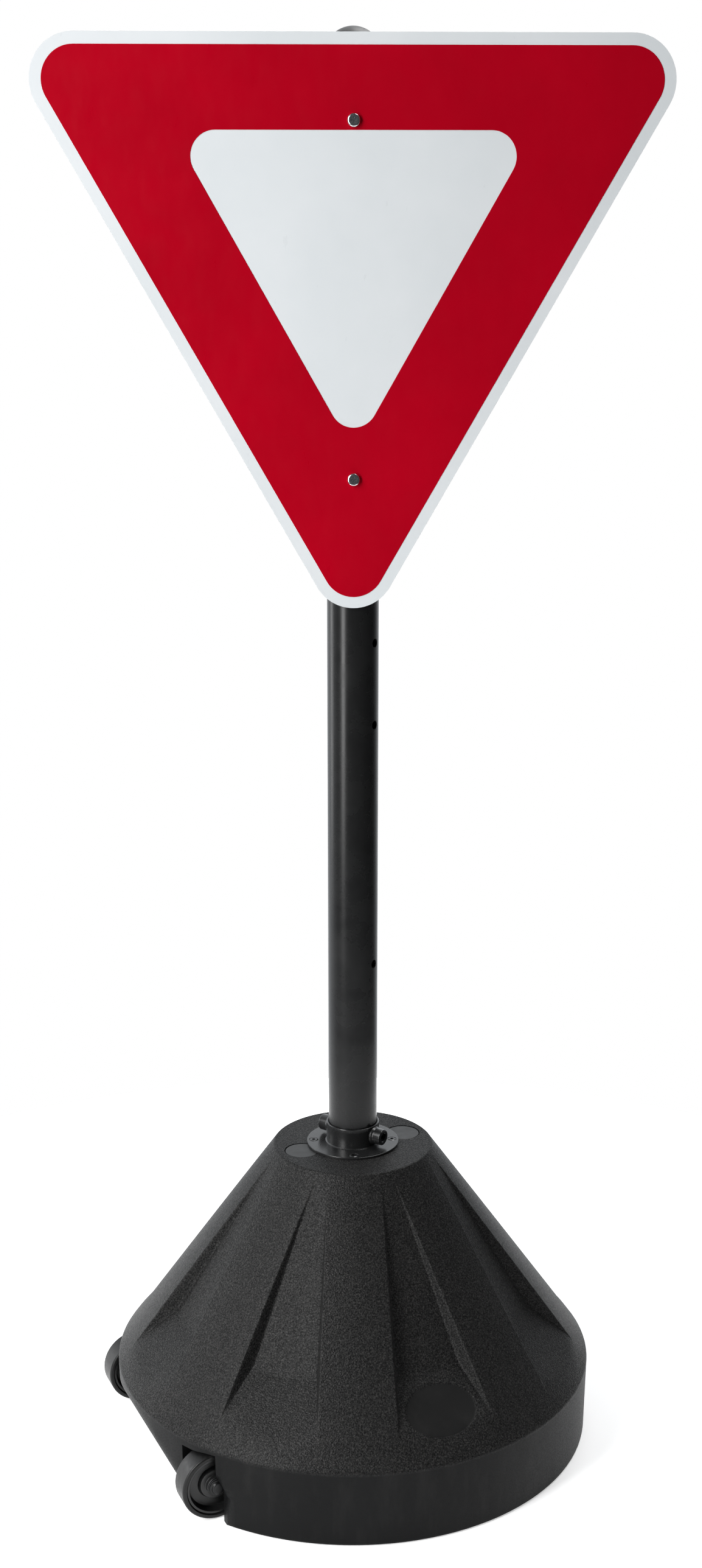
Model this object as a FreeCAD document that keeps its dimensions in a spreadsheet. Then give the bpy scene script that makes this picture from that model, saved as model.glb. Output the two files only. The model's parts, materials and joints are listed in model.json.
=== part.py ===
import FreeCAD, Part
import math
import os
import re
import Sketcher
from FreeCAD import Placement, Rotation, Vector

"""Portable signpost: a fillable round base on two tip-and-roll wheels, a steel socket,
a round post that lifts out of it, and a triangular give-way plate bolted to the post.

Frame: millimetres, +Z up, origin on the post's axis at the floor, sign facing -Y.
The base is drawn in its own frame, whose +X looks towards the tipping edge and whose
+Y runs along the wheel axles, and is turned about Z into place.
"""

DIMENSIONS = {
    # base shell
    "bandRadius": 302.0, "footRadius": 300.5, "rimHeight": 96.0, "discRadius": 99.2,
    "discHeight": 378.4, "shellWall": 5.0, "rimRound": 5.0, "discRound": 3.5, "footRound": 3.0,
    "tipAngle": 202.5,
    # flutes pressed into the cone
    "fluteCount": 8.0, "fluteHeadRadius": 112.0, "fluteKinkRadius": 222.0, "fluteTailRadius": 289.0,
    "fluteApexRadius": 81.0, "fluteSpread": 0.328, "fluteDepth": 20.0, "fluteDraft": 5.0,
    "fluteEndDepth": 0.3, "cutterRise": 30.0,
    # blank oval pad in one flute
    "padReach": 258.0, "padHalfWidth": 44.0, "padHalfHeight": 32.0, "padDepth": 1.5,
    # tipping edge
    "bevelFoot": 262.0, "bevelHeight": 85.0,
    # wheels, axles and their wells
    "wheelRadius": 43.0, "wheelWidth": 30.0, "wheelInner": 130.0, "axleReach": 246.0,
    "floorGap": 0.3, "wellClearance": 4.0, "wellInner": 122.0, "wellOuter": 168.0,
    "windowSetback": 5.0, "windowOverlap": 1.0, "windowTopShift": 20.0, "axleRadius": 6.35, "axleSeat": 30.0,
    "axleHoleClearance": 0.05, "runningClearance": 0.07, "axleBossRadius": 13.0,
    "treadDepth": 6.5, "treadRound": 6.0, "hubRadius": 12.5, "hubRingRadius": 18.5,
    "hubRingHalf": 9.0, "webHalf": 3.0, "webBlend": 2.0, "rimWidth": 26.0, "rimDepth": 4.0,
    "rimChamfer": 1.0, "rimFit": 0.05, "runningGap": 0.3, "pinChamfer": 1.0,
    "axleWasherRadius": 12.0, "axleWasherThickness": 1.5, "pushNutRadius": 10.5,
    "pushNutHeight": 4.6, "pushNutRound": 3.6, "spacerRadius": 10.0,
    # plugs in the top disc
    "plugReach": 69.0, "plugHoleRadius": 17.5, "plugRimRadius": 21.0, "plugRimDepth": 2.4,
    "plugBodyDepth": 14.0, "plugHoleDepth": 15.0, "plugWall": 2.5, "plugGroove": 0.8, "plugFit": 0.1,
    # steel socket
    "socketBore": 30.75, "socketRadius": 33.0, "socketTop": 407.4, "socketFoot": 200.0,
    "socketGap": 0.3, "flangeRadius": 57.5, "flangeThickness": 3.0, "weldSize": 1.8, "seamGap": 0.08,
    "flangeRound": 0.6, "socketRound": 0.7, "bossRound": 1.2,
    "bossRadius": 10.0, "bossReach": 46.0, "screwHeight": 394.5, "screwAngle": -35.0,
    "setScrewRadius": 5.0, "setScrewLength": 13.5, "threadClearance": 0.05,
    "setScrewHoleRadius": 5.4, "keyFlat": 2.5, "keyDepth": 5.0, "tipChamfer": 1.2,
    "screwEndChamfer": 0.6,
    "flangeScrewReach": 49.2, "flangeScrewRadius": 3.0, "flangeScrewHead": 5.6,
    "flangeScrewLength": 18.0, "flangeScrewCrown": 0.4, "flangeKeyRadius": 2.2,
    "flangeKeyDepth": 1.6, "flangeScrewChamfer": 1.0, "insertRadius": 5.0,
    "insertLength": 15.0, "insertGap": 0.1,
    # post
    "postRadius": 30.15, "postWall": 2.1, "postTop": 1657.5, "pocketFloor": 32.0,
    "pocketClearance": 0.85, "footLip": 3.5, "footPlug": 22.0, "plugInset": 0.1,
    "linerWall": 2.5, "stemOverlap": 1.0,
    "standGap": 0.3, "domeRadius": 33.4, "domeHeight": 19.3, "capPlug": 20.0,
    "crossHoleRadius": 5.25, "crossHoleTop": 1012.0, "crossHoleMiddle": 915.0,
    "crossHoleLow": 619.0, "crossHoleAngle": -32.5,
    # sign plate and its facings
    "signSide": 762.0, "signCorner": 48.0, "signTop": 1667.0, "plateThickness": 2.0,
    "plateGap": 0.3, "sheetThickness": 0.3, "borderWidth": 12.7, "bandInnerSide": 391.6,
    "bandInnerTop": 1569.2, "bandInnerCorner": 27.0,
    # sign fasteners
    "boltUpper": 1579.0, "boltLower": 1200.0, "boltRadius": 4.0, "boltHoleClearance": 0.3,
    "boltHeadRadius": 7.1, "boltHeadHeight": 4.2, "boltHeadRound": 3.3, "boltTail": 41.5,
    "washerRadius": 10.0, "washerThickness": 1.6, "washerGap": 0.05, "nutFlat": 6.5, "nutHeight": 6.8,
    # ballast
    "ballastTop": 330.0, "ballastGap": 0.5,
}

doc = FreeCAD.newDocument("signpost")
sheet = doc.addObject("Spreadsheet::Sheet", "dims")
for row, (alias, number) in enumerate(DIMENSIONS.items(), start=1):
    sheet.set(f"A{row}", alias)
    sheet.set(f"B{row}", str(number))
    sheet.setAlias(f"B{row}", alias)
doc.recompute()

EPSILON = 1e-4
FLANGE_SCREW_ANGLES = (67.5, 157.5, 247.5, 337.5)
HEXAGON_TURNS = (15, 75, 135, 195, 255, 315)
ARCH_TURNS = (180, 150, 120, 90, 60)
UNDER = "1"
FAR = "60"


def full(expression):
    """Write each alias in an expression as a reference to the sheet."""
    def refer(match):
        word = match.group()
        return f"dims.{word}" if word in DIMENSIONS else word
    return re.sub(r"[A-Za-z]\w*", refer, expression)


def value(expression):
    """The number that an expression of aliases has now."""
    return float(sheet.evalExpression(full(expression)))


def bind(item, path, expression):
    """Tie one property of an object to an expression of aliases."""
    item.setExpression(path, full(expression))


# ---------------------------------------------------------------- drawing helpers
def new_body(name):
    """A body whose label names its sub-part."""
    body = doc.addObject("PartDesign::Body", name)
    body.Label = name
    return body


def origin_part(body, role):
    """A plane or an axis of a body's own origin."""
    return next(item for item in body.Origin.OriginFeatures if item.Role == role)


def sketch_on(body, role, name, offset=None):
    """A sketch on one of the body's origin planes, moved along the plane's normal."""
    sketch = body.newObject("Sketcher::SketchObject", name)
    sketch.AttachmentSupport = [(origin_part(body, role), "")]
    sketch.MapMode = "FlatFace"
    if offset is not None:
        bind(sketch, "AttachmentOffset.Base.z", offset)
    return sketch


def hold_point(sketch, geometry, position, across, up):
    """Fix a point of the sketch at two expressions, measured from the sketch's origin."""
    for kind, axis, expression in (("DistanceX", -2, across), ("DistanceY", -1, up)):
        number = value(expression)
        if abs(number) < EPSILON:
            sketch.addConstraint(Sketcher.Constraint("PointOnObject", geometry, position, axis))
            continue
        index = sketch.addConstraint(
            Sketcher.Constraint(kind, -1, 1, geometry, position, number))
        bind(sketch, f"Constraints[{index}]", expression)


def outline(sketch, corners):
    """A closed outline of straight edges through corners given as pairs of expressions."""
    points = [Vector(value(across), value(up), 0) for across, up in corners]
    count = len(points)
    first = sketch.GeometryCount
    for index, point in enumerate(points):
        sketch.addGeometry(Part.LineSegment(point, points[(index + 1) % count]), False)
    for index in range(count):
        sketch.addConstraint(Sketcher.Constraint(
            "Coincident", first + index, 2, first + (index + 1) % count, 1))
    for index, (across, up) in enumerate(corners):
        hold_point(sketch, first + index, 1, across, up)


def circle(sketch, across, up, radius):
    """A circle whose centre and radius are expressions."""
    centre = Vector(value(across), value(up), 0)
    index = sketch.addGeometry(Part.Circle(centre, Vector(0, 0, 1), value(radius)), False)
    hold_point(sketch, index, 3, across, up)
    ring = sketch.addConstraint(Sketcher.Constraint("Radius", index, value(radius)))
    bind(sketch, f"Constraints[{ring}]", radius)


def ring_edges(shape, radius, height):
    """Names of the circular edges about Z at a radius and a height."""
    names = []
    for index, edge in enumerate(shape.Edges, start=1):
        curve = edge.Curve
        if not isinstance(curve, Part.Circle):
            continue
        if abs(curve.Radius - radius) < 0.01 and abs(curve.Center.z - height) < 0.01:
            names.append(f"Edge{index}")
    return names


def round_rings(body, rounds):
    """Round ring edges, each given as radius, height and size of the rounding."""
    for number, (radius, height, size) in enumerate(rounds):
        doc.recompute()
        base = body.Tip
        names = ring_edges(base.Shape, value(radius), value(height))
        fillet = body.newObject("PartDesign::Fillet", f"{body.Name}_round{number}")
        fillet.Base = (base, names)
        bind(fillet, "Radius", size)
        body.Tip = fillet


def turned(name, corners, rounds=()):
    """A piece turned about its own Z axis from an outline of radius and height pairs."""
    body = new_body(name)
    sketch = sketch_on(body, "XZ_Plane", f"{name}_profile")
    outline(sketch, corners)
    turn = body.newObject("PartDesign::Revolution", f"{name}_turn")
    turn.Profile = sketch
    turn.ReferenceAxis = (sketch, ["V_Axis"])
    turn.Angle = 360.0
    body.Tip = turn
    round_rings(body, rounds)
    return body


def ring(name, inner, outer, low, high, rounds=()):
    """A plain ring or tube."""
    return turned(name, [(inner, low), (outer, low), (outer, high), (inner, high)], rounds)


def pocket(body, sketch, name, length, backwards=False):
    """Cut a sketch out of the body along the sketch's normal."""
    cut = body.newObject("PartDesign::Pocket", name)
    cut.Profile = sketch
    bind(cut, "Length", length)
    cut.Reversed = backwards
    body.Tip = cut
    return cut


def pocket_through(body, sketch, name):
    """Cut a sketch through the whole body, both ways."""
    cut = body.newObject("PartDesign::Pocket", name)
    cut.Profile = sketch
    cut.Type = "ThroughAll"
    cut.SideType = "Symmetric"
    body.Tip = cut
    return cut


def mirror(body, features, role, name):
    """Repeat features on the other side of an origin plane."""
    twin = body.newObject("PartDesign::Mirrored", name)
    twin.Originals = features
    twin.MirrorPlane = (origin_part(body, role), [""])
    body.Tip = twin
    return twin


def cut_away(name, base, tool):
    """A boolean cut whose label names the finished sub-part."""
    item = doc.addObject("Part::Cut", name)
    item.Base = base
    item.Tool = tool
    item.Label = name
    return item


def drill(name, radius, length, place):
    """A cylinder centred on its own middle, placed along the hole that it cuts."""
    tool = doc.addObject("Part::Cylinder", name)
    bind(tool, "Radius", radius)
    bind(tool, "Height", length)
    tool.Placement = place.multiply(Placement(Vector(0, 0, -value(length) / 2), Rotation()))
    return tool


def fuse(name, pieces):
    """Several shapes joined into one."""
    item = doc.addObject("Part::MultiFuse", name)
    item.Shapes = pieces
    return item


def along(angle, height, reverse=False):
    """Place a turned piece so that its own +Z points level at an angle about the post."""
    turn = Rotation(Vector(0, 0, 1), value(angle) + (180 if reverse else 0))
    return Placement(Vector(0, 0, value(height)), turn.multiply(Rotation(Vector(0, 1, 0), 90)))


def facing_front(height):
    """Place a turned piece so that its own +Z points to the front of the sign."""
    return Placement(Vector(0, 0, value(height)), Rotation(Vector(1, 0, 0), 90))


def place_in_base(item, across="0", along_edge="0"):
    """Turn a piece drawn in the base's frame into place, at a point of that frame."""
    item.Placement = Placement(Vector(), Rotation(Vector(0, 0, 1), value("tipAngle")))
    bind(item, "Placement.Base.x",
         f"( {across} ) * cos( tipAngle ) - ( {along_edge} ) * sin( tipAngle )")
    bind(item, "Placement.Base.y",
         f"( {across} ) * sin( tipAngle ) + ( {along_edge} ) * cos( tipAngle )")


# ---------------------------------------------------------------- base shell
SLOPE = "( discHeight - rimHeight ) / ( bandRadius - discRadius )"
STEEPNESS = f"sqrt( 1 + ( {SLOPE} ) ^ 2 )"
BEVEL_RUN = "( bandRadius - bevelFoot ) / bevelHeight"
BEVEL_LEAN = f"sqrt( 1 + ( {BEVEL_RUN} ) ^ 2 )"
AXLE_HEIGHT = "( wheelRadius + floorGap )"
ARCH = "( ( wheelRadius + wellClearance + {inset} ) / cos( 15 ) )"
DISC_FLOOR = "( discHeight - shellWall )"


def cone_height(radius):
    """Height of the cone's surface at a radius."""
    return f"( rimHeight + ( bandRadius - ( {radius} ) ) * {SLOPE} )"


def flute_section(radius, depth, inset):
    """Corners of the flute cutter across its length, at a distance from the post's axis."""
    floor = f"( {cone_height(radius)} - ( {depth} + {inset} ) * {STEEPNESS} )"
    top = f"( {cone_height(radius)} + cutterRise )"
    lean = f"( fluteDraft / ( fluteDepth * {STEEPNESS} ) )"
    low = (f"( ( {radius} - fluteApexRadius ) * fluteSpread"
           f" - fluteDraft * ( {depth} ) / fluteDepth + {inset} )")
    high = f"( {low} + {lean} * ( {top} - {floor} ) )"
    return [(f"0 - {low}", floor), (low, floor), (high, top), (f"0 - {high}", top)]


def cut_flutes(body, inset):
    """Press the flutes into the cone: shallow at both ends, deepest at a kink."""
    stations = (("head", "fluteHeadRadius", "fluteEndDepth"),
                ("kink", "fluteKinkRadius", "fluteDepth"),
                ("tail", "fluteTailRadius", "fluteEndDepth"))
    sections = []
    for label, radius, depth in stations:
        sketch = sketch_on(body, "YZ_Plane", f"{body.Name}_flute_{label}", radius)
        outline(sketch, flute_section(radius, depth, inset))
        sections.append(sketch)
    flute = body.newObject("PartDesign::SubtractiveLoft", f"{body.Name}_flute")
    flute.Profile = sections[0]
    flute.Sections = sections[1:]
    flute.Ruled = True
    body.Tip = flute
    doc.recompute()
    pattern = body.newObject("PartDesign::PolarPattern", f"{body.Name}_flutes")
    pattern.Originals = [flute]
    pattern.Axis = (origin_part(body, "Z_Axis"), [""])
    pattern.Angle = 360.0
    bind(pattern, "Occurrences", "fluteCount")
    body.Tip = pattern


def cut_tipping_edge(body, inset):
    """Cut the slanted face that lets the base tip onto its wheels."""
    foot = f"( bevelFoot - {BEVEL_RUN} * {UNDER} - {inset} * {BEVEL_LEAN} )"
    out = f"( bandRadius + {FAR} )"
    rise = f"( ( {out} - bevelFoot + {inset} * {BEVEL_LEAN} ) / ( {BEVEL_RUN} ) )"
    sketch = sketch_on(body, "XZ_Plane", f"{body.Name}_bevel")
    outline(sketch, [(foot, f"0 - {UNDER}"), (out, f"0 - {UNDER}"), (out, rise)])
    pocket_through(body, sketch, f"{body.Name}_bevel_cut")


def arch_corner(turn, inset):
    """A corner of the faceted wheel arch at an angle about the axle."""
    reach = ARCH.format(inset=inset)
    return (f"( axleReach + {reach} * cos( {turn} ) )",
            f"( {AXLE_HEIGHT} + {reach} * sin( {turn} ) )")


def cut_wells(body, inset):
    """Cut both wheel wells, and the window that bares the wheel's outer face."""
    out = f"( bandRadius + {FAR} )"
    left = arch_corner(ARCH_TURNS[0], inset)[0]
    lintel = arch_corner(ARCH_TURNS[-1], inset)
    arch = [(left, f"0 - {UNDER}")] + [arch_corner(turn, inset) for turn in ARCH_TURNS]
    well = sketch_on(body, "XZ_Plane", f"{body.Name}_well", f"0 - ( wellInner - {inset} )")
    outline(well, arch + [(out, lintel[1]), (out, f"0 - {UNDER}")])
    well_cut = pocket(body, well, f"{body.Name}_well_cut",
                      f"wellOuter - wellInner + 2 * {inset}")
    jamb = f"( axleReach - windowSetback - {inset} )"
    window = sketch_on(body, "XZ_Plane", f"{body.Name}_window",
                       f"0 - ( wellOuter - {inset} - windowOverlap )")
    outline(window, [(jamb, f"0 - {UNDER}"), (jamb, AXLE_HEIGHT),
                     (f"( {jamb} + windowTopShift )", lintel[1]),
                     (out, lintel[1]), (out, f"0 - {UNDER}")])
    window_cut = pocket(body, window, f"{body.Name}_window_cut", "bandRadius")
    mirror(body, [well_cut, window_cut], "XZ_Plane", f"{body.Name}_other_well")


def cut_axle_seats(body, radius, length):
    """Cut a blind hole behind each well, on the axle's line."""
    seat = sketch_on(body, "XZ_Plane", f"{body.Name}_seat", "0 - wellInner")
    circle(seat, "axleReach", AXLE_HEIGHT, radius)
    cut = pocket(body, seat, f"{body.Name}_seat_cut", length, backwards=True)
    mirror(body, [cut], "XZ_Plane", f"{body.Name}_other_seat")


def base_form(name, inset, bore):
    """The base's outer form, or the same form drawn in by an inset for its inside."""
    body = new_body(name)
    sketch = sketch_on(body, "XZ_Plane", f"{name}_profile")
    rim = f"( rimHeight + {inset} * {SLOPE} - {inset} * {STEEPNESS} )"
    disc = f"( discRadius + ( {inset} - {inset} * {STEEPNESS} ) / ( {SLOPE} ) )"
    top = f"( discHeight - {inset} )"
    outline(sketch, bore(inset) + [
        (f"( footRadius - {inset} )", inset), (f"( bandRadius - {inset} )", rim), (disc, top)])
    turn = body.newObject("PartDesign::Revolution", f"{name}_turn")
    turn.Profile = sketch
    turn.ReferenceAxis = (sketch, ["V_Axis"])
    turn.Angle = 360.0
    body.Tip = turn
    if inset == "0":
        round_rings(body, [("bandRadius", "rimHeight", "rimRound"),
                           ("discRadius", "discHeight", "discRound"),
                           ("footRadius", "0", "footRound")])
    cut_flutes(body, inset)
    cut_tipping_edge(body, inset)
    cut_wells(body, inset)
    return body


def stepped_bore(inset):
    """Outline of the post's pocket: wide for the steel socket, narrower for the post."""
    wide = "( socketRadius + socketGap )"
    narrow = "( postRadius + pocketClearance )"
    return [(wide, "discHeight"), (wide, "socketFoot"), (narrow, "socketFoot"),
            (narrow, "pocketFloor"), ("0", "pocketFloor"), ("0", inset)]


def bore_wall(inset):
    """Inner edge of the hollow: the outside of the wall round the post's pocket."""
    wall = f"( socketRadius + socketGap + {inset} )"
    return [(wall, f"( discHeight - {inset} )"), (wall, inset)]


def make_base():
    """The hollow moulded shell."""
    outer = base_form("shell_outside", "0", stepped_bore)
    cut_axle_seats(outer, "axleRadius + axleHoleClearance", "axleSeat")
    holes = sketch_on(outer, "XY_Plane", "plug_holes", "discHeight")
    steps = sketch_on(outer, "XY_Plane", "plug_steps", "discHeight")
    for side in ("plugReach", "0 - plugReach"):
        circle(holes, side, "0", "plugHoleRadius")
        circle(steps, side, "0", "plugRimRadius + plugGroove")
    pocket(outer, holes, "plug_hole_cut", "plugHoleDepth")
    pocket(outer, steps, "plug_step_cut", "plugRimDepth")
    inserts = sketch_on(outer, "XY_Plane", "insert_holes", "discHeight")
    for across, up in insert_places():
        circle(inserts, across, up, "insertRadius + plugFit")
    pocket(outer, inserts, "insert_hole_cut", "insertLength")
    hollow = base_form("shell_inside", "shellWall", bore_wall)
    cut_axle_seats(hollow, "axleBossRadius", "axleSeat + shellWall")
    bosses = sketch_on(hollow, "XY_Plane", "insert_bosses", DISC_FLOOR)
    for across, up in insert_places():
        circle(bosses, across, up, "insertRadius + shellWall")
    pocket(hollow, bosses, "insert_boss_cut", "insertLength")
    walls = cut_away("shell_walls", outer, hollow)
    shell = cut_away("base_shell", walls, make_pad_cutter())
    place_in_base(shell)
    return shell


def insert_places():
    """Places of the flange's screws, in the base's frame."""
    return [(f"flangeScrewReach * cos( {angle} )", f"flangeScrewReach * sin( {angle} )")
            for angle in FLANGE_SCREW_ANGLES]


def make_pad_cutter():
    """An oval cutter laid on the lower face of the flute over the +Y side of the base."""
    body = new_body("pad_cutter")
    sketch = sketch_on(body, "XY_Plane", "pad_oval", "0 - padDepth")
    long_half = value("padHalfWidth")
    short_half = value("padHalfHeight")
    oval = Part.Ellipse(Vector(long_half, 0, 0), Vector(0, short_half, 0), Vector(0, 0, 0))
    sketch.addGeometry(oval, False)
    sketch.exposeInternalGeometry(0)
    sketch.addConstraint(Sketcher.Constraint("Coincident", 0, 3, -1, 1))
    sketch.addConstraint(Sketcher.Constraint("Horizontal", 1))
    for line, size in ((1, "2 * padHalfWidth"), (2, "2 * padHalfHeight")):
        index = sketch.addConstraint(Sketcher.Constraint("Distance", line, value(size)))
        bind(sketch, f"Constraints[{index}]", size)
    pad = body.newObject("PartDesign::Pad", "pad_block")
    pad.Profile = sketch
    bind(pad, "Length", "cutterRise")
    body.Tip = pad
    kink_floor = value(f"{cone_height('fluteKinkRadius')} - fluteDepth * {STEEPNESS}")
    tail_floor = value(f"{cone_height('fluteTailRadius')} - fluteEndDepth * {STEEPNESS}")
    run = value("fluteTailRadius - fluteKinkRadius")
    fall = (kink_floor - tail_floor) / run
    reach = value("padReach")
    height = kink_floor - fall * (reach - value("fluteKinkRadius"))
    lean = Rotation(Vector(1, 0, 0), -math.degrees(math.atan(fall)))
    body.Placement = Placement(Vector(0, reach, height), lean)
    return body


def make_ballast():
    """The fill that weighs the base down, level below the cone's top."""
    form = base_form("fill_form", "( shellWall + ballastGap )", bore_wall)
    cut_axle_seats(form, "axleBossRadius + ballastGap", "axleSeat + shellWall + ballastGap")
    lid = doc.addObject("Part::Cylinder", "fill_lid")
    bind(lid, "Radius", "bandRadius")
    bind(lid, "Height", "discHeight")
    bind(lid, "Placement.Base.z", "ballastTop")
    fill = cut_away("ballast_fill", form, lid)
    place_in_base(fill)
    return fill


def make_plug(name, side):
    """A flush press-in plug with a hollow body and a stepped rim."""
    top = "( discHeight - plugFit )"
    step = "( discHeight - plugRimDepth )"
    foot = f"( {step} - plugBodyDepth )"
    neck = "( plugHoleRadius - plugFit )"
    inner = f"( {neck} - plugWall )"
    plug = turned(name, [
        ("0", top), ("0", step), (inner, step), (inner, foot), (neck, foot), (neck, step),
        ("plugRimRadius", step), ("plugRimRadius", top)])
    place_in_base(plug, f"{side} * plugReach")
    return plug


# ---------------------------------------------------------------- socket
def make_socket():
    """Flange plate, welded tube, two threaded bosses and their set screws."""
    flange_top = "( discHeight + flangeThickness )"
    bore = "( socketRadius + seamGap )"
    flange = turned("socket_flange", [
        (bore, "discHeight"), ("flangeRadius", "discHeight"),
        ("flangeRadius", flange_top), ("( socketRadius + weldSize )", flange_top),
        (bore, f"( {flange_top} + weldSize )")],
        [("flangeRadius", flange_top, "flangeRound")])
    holes = sketch_on(flange, "XY_Plane", "flange_holes", flange_top)
    for across, up in insert_places():
        circle(holes, across, up, "flangeScrewHead + plugFit")
    pocket(flange, holes, "flange_hole_cut", "flangeThickness")
    place_in_base(flange)

    tube = ring("socket_tube_blank", "socketBore", "socketRadius", "socketFoot", "socketTop",
                [("socketRadius", "socketTop", "socketRound")])
    cross = drill("socket_cross_drill", "setScrewHoleRadius", "4 * socketRadius",
                  along("screwAngle", "screwHeight"))
    socket = cut_away("socket_tube", tube, cross)
    pieces = [flange, socket]

    for side, reverse in (("front", False), ("rear", True)):
        place = along("screwAngle", "screwHeight", reverse)
        boss = ring(f"screw_boss_{side}_blank", "setScrewRadius + threadClearance", "bossRadius",
                    "socketBore", "bossReach", [("bossRadius", "bossReach", "bossRound")])
        boss.Placement = place
        core = doc.addObject("Part::Cylinder", f"screw_boss_{side}_seat")
        bind(core, "Radius", "socketRadius + seamGap")
        bind(core, "Height", "socketTop")
        pieces.append(cut_away(f"screw_boss_{side}", boss, core))
        pieces.append(make_set_screw(f"set_screw_{side}", place))
    return pieces


def make_set_screw(name, place):
    """A grub screw with a hexagon key socket, its tip just off the post."""
    tip = "( postRadius + runningGap )"
    end = f"( {tip} + setScrewLength )"
    screw = turned(name, [
        ("0", tip), ("( setScrewRadius - tipChamfer )", tip),
        ("setScrewRadius", f"( {tip} + tipChamfer )"),
        ("setScrewRadius", f"( {end} - screwEndChamfer )"),
        ("( setScrewRadius - screwEndChamfer )", end), ("0", end)])
    key = sketch_on(screw, "XY_Plane", f"{name}_key", end)
    hexagon(key, "keyFlat")
    pocket(screw, key, f"{name}_key_cut", "keyDepth")
    screw.Placement = place
    return screw


def hexagon(sketch, flat):
    """A hexagon about the sketch's origin, sized by its half width across flats."""
    corner = f"( ( {flat} ) / cos( 30 ) )"
    outline(sketch, [(f"{corner} * cos( {turn} )", f"{corner} * sin( {turn} )")
                     for turn in HEXAGON_TURNS])


def make_flange_fasteners():
    """Four countersunk screws and the inserts that they bite into."""
    pieces = []
    top = "( discHeight + flangeThickness )"
    crown = f"( {top} + flangeScrewCrown )"
    under = "( discHeight - insertGap )"
    for number, (across, up) in enumerate(insert_places(), start=1):
        foot = f"( {top} - flangeScrewLength )"
        screw = turned(f"flange_screw_{number}", [
            ("0", foot), ("flangeScrewRadius", foot), ("flangeScrewRadius", "discHeight"),
            ("flangeScrewHead", "discHeight"), ("flangeScrewHead", f"( {top} - flangeScrewCrown )"),
            ("( flangeScrewHead - flangeScrewChamfer )", crown), ("flangeKeyRadius", crown),
            ("flangeKeyRadius", f"( {top} - flangeKeyDepth )"),
            ("0", f"( {top} - flangeKeyDepth )")])
        place_in_base(screw, across, up)
        insert = ring(f"flange_insert_{number}", "( flangeScrewRadius + threadClearance )",
                      "insertRadius", "( discHeight - insertLength )", under)
        place_in_base(insert, across, up)
        pieces += [screw, insert]
    return pieces


# ---------------------------------------------------------------- wheels
def make_wheel(side, outward):
    """One wheel with its tyre, core, axle, spacer, washer and push nut."""
    outer = "( wheelInner + wheelWidth )"
    middle = "( wheelInner + wheelWidth / 2 )"
    seam = "( wheelRadius - treadDepth )"
    bore = "( axleRadius + runningClearance )"
    tyre = ring(f"wheel_tyre_{side}", seam, "wheelRadius", "wheelInner", outer,
                [("wheelRadius", "wheelInner", "treadRound"), ("wheelRadius", outer, "treadRound")])
    steps = [(bore, "wheelWidth / 2"), ("hubRadius", "wheelWidth / 2"),
             ("hubRadius", "hubRingHalf"), ("hubRingRadius", "hubRingHalf"),
             ("( hubRingRadius + webBlend )", "webHalf"), (f"( {seam} - rimDepth )", "webHalf"),
             (f"( {seam} - rimDepth + rimChamfer )", "rimWidth / 2"),
             (f"( {seam} - rimFit )", "rimWidth / 2")]
    upper = [(radius, f"( {middle} + {half} )") for radius, half in steps]
    lower = [(radius, f"( {middle} - {half} )") for radius, half in reversed(steps)]
    core = turned(f"wheel_core_{side}", upper + lower)
    washer_low = f"( {outer} + runningGap )"
    washer_high = f"( {washer_low} + axleWasherThickness )"
    cap_top = f"( {washer_high} + pushNutHeight )"
    cap_floor = f"( {washer_high} + pushNutHeight / 2 )"
    pin = turned(f"axle_pin_{side}", [
        ("0", "( wellInner - axleSeat )"), ("( axleRadius - pinChamfer )", "( wellInner - axleSeat )"),
        ("axleRadius", "( wellInner - axleSeat + pinChamfer )"), ("axleRadius", cap_floor),
        ("0", cap_floor)])
    spacer = ring(f"axle_spacer_{side}", bore, "spacerRadius", "wellInner",
                  "( wheelInner - runningGap )")
    washer = ring(f"axle_washer_{side}", bore, "axleWasherRadius", washer_low, washer_high)
    cap = turned(f"push_nut_{side}", [
        (bore, washer_high), ("pushNutRadius", washer_high), ("pushNutRadius", cap_top),
        ("0", cap_top), ("0", cap_floor), (bore, cap_floor)],
        [("pushNutRadius", cap_top, "pushNutRound")])
    pieces = [tyre, core, pin, spacer, washer, cap]
    turn = Rotation(Vector(0, 0, 1), value("tipAngle"))
    aim = Rotation(Vector(1, 0, 0), -90 * outward)
    for piece in pieces:
        piece.Placement = Placement(Vector(), turn.multiply(aim))
        bind(piece, "Placement.Base.x", "axleReach * cos( tipAngle )")
        bind(piece, "Placement.Base.y", "axleReach * sin( tipAngle )")
        bind(piece, "Placement.Base.z", AXLE_HEIGHT)
    return pieces


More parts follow.
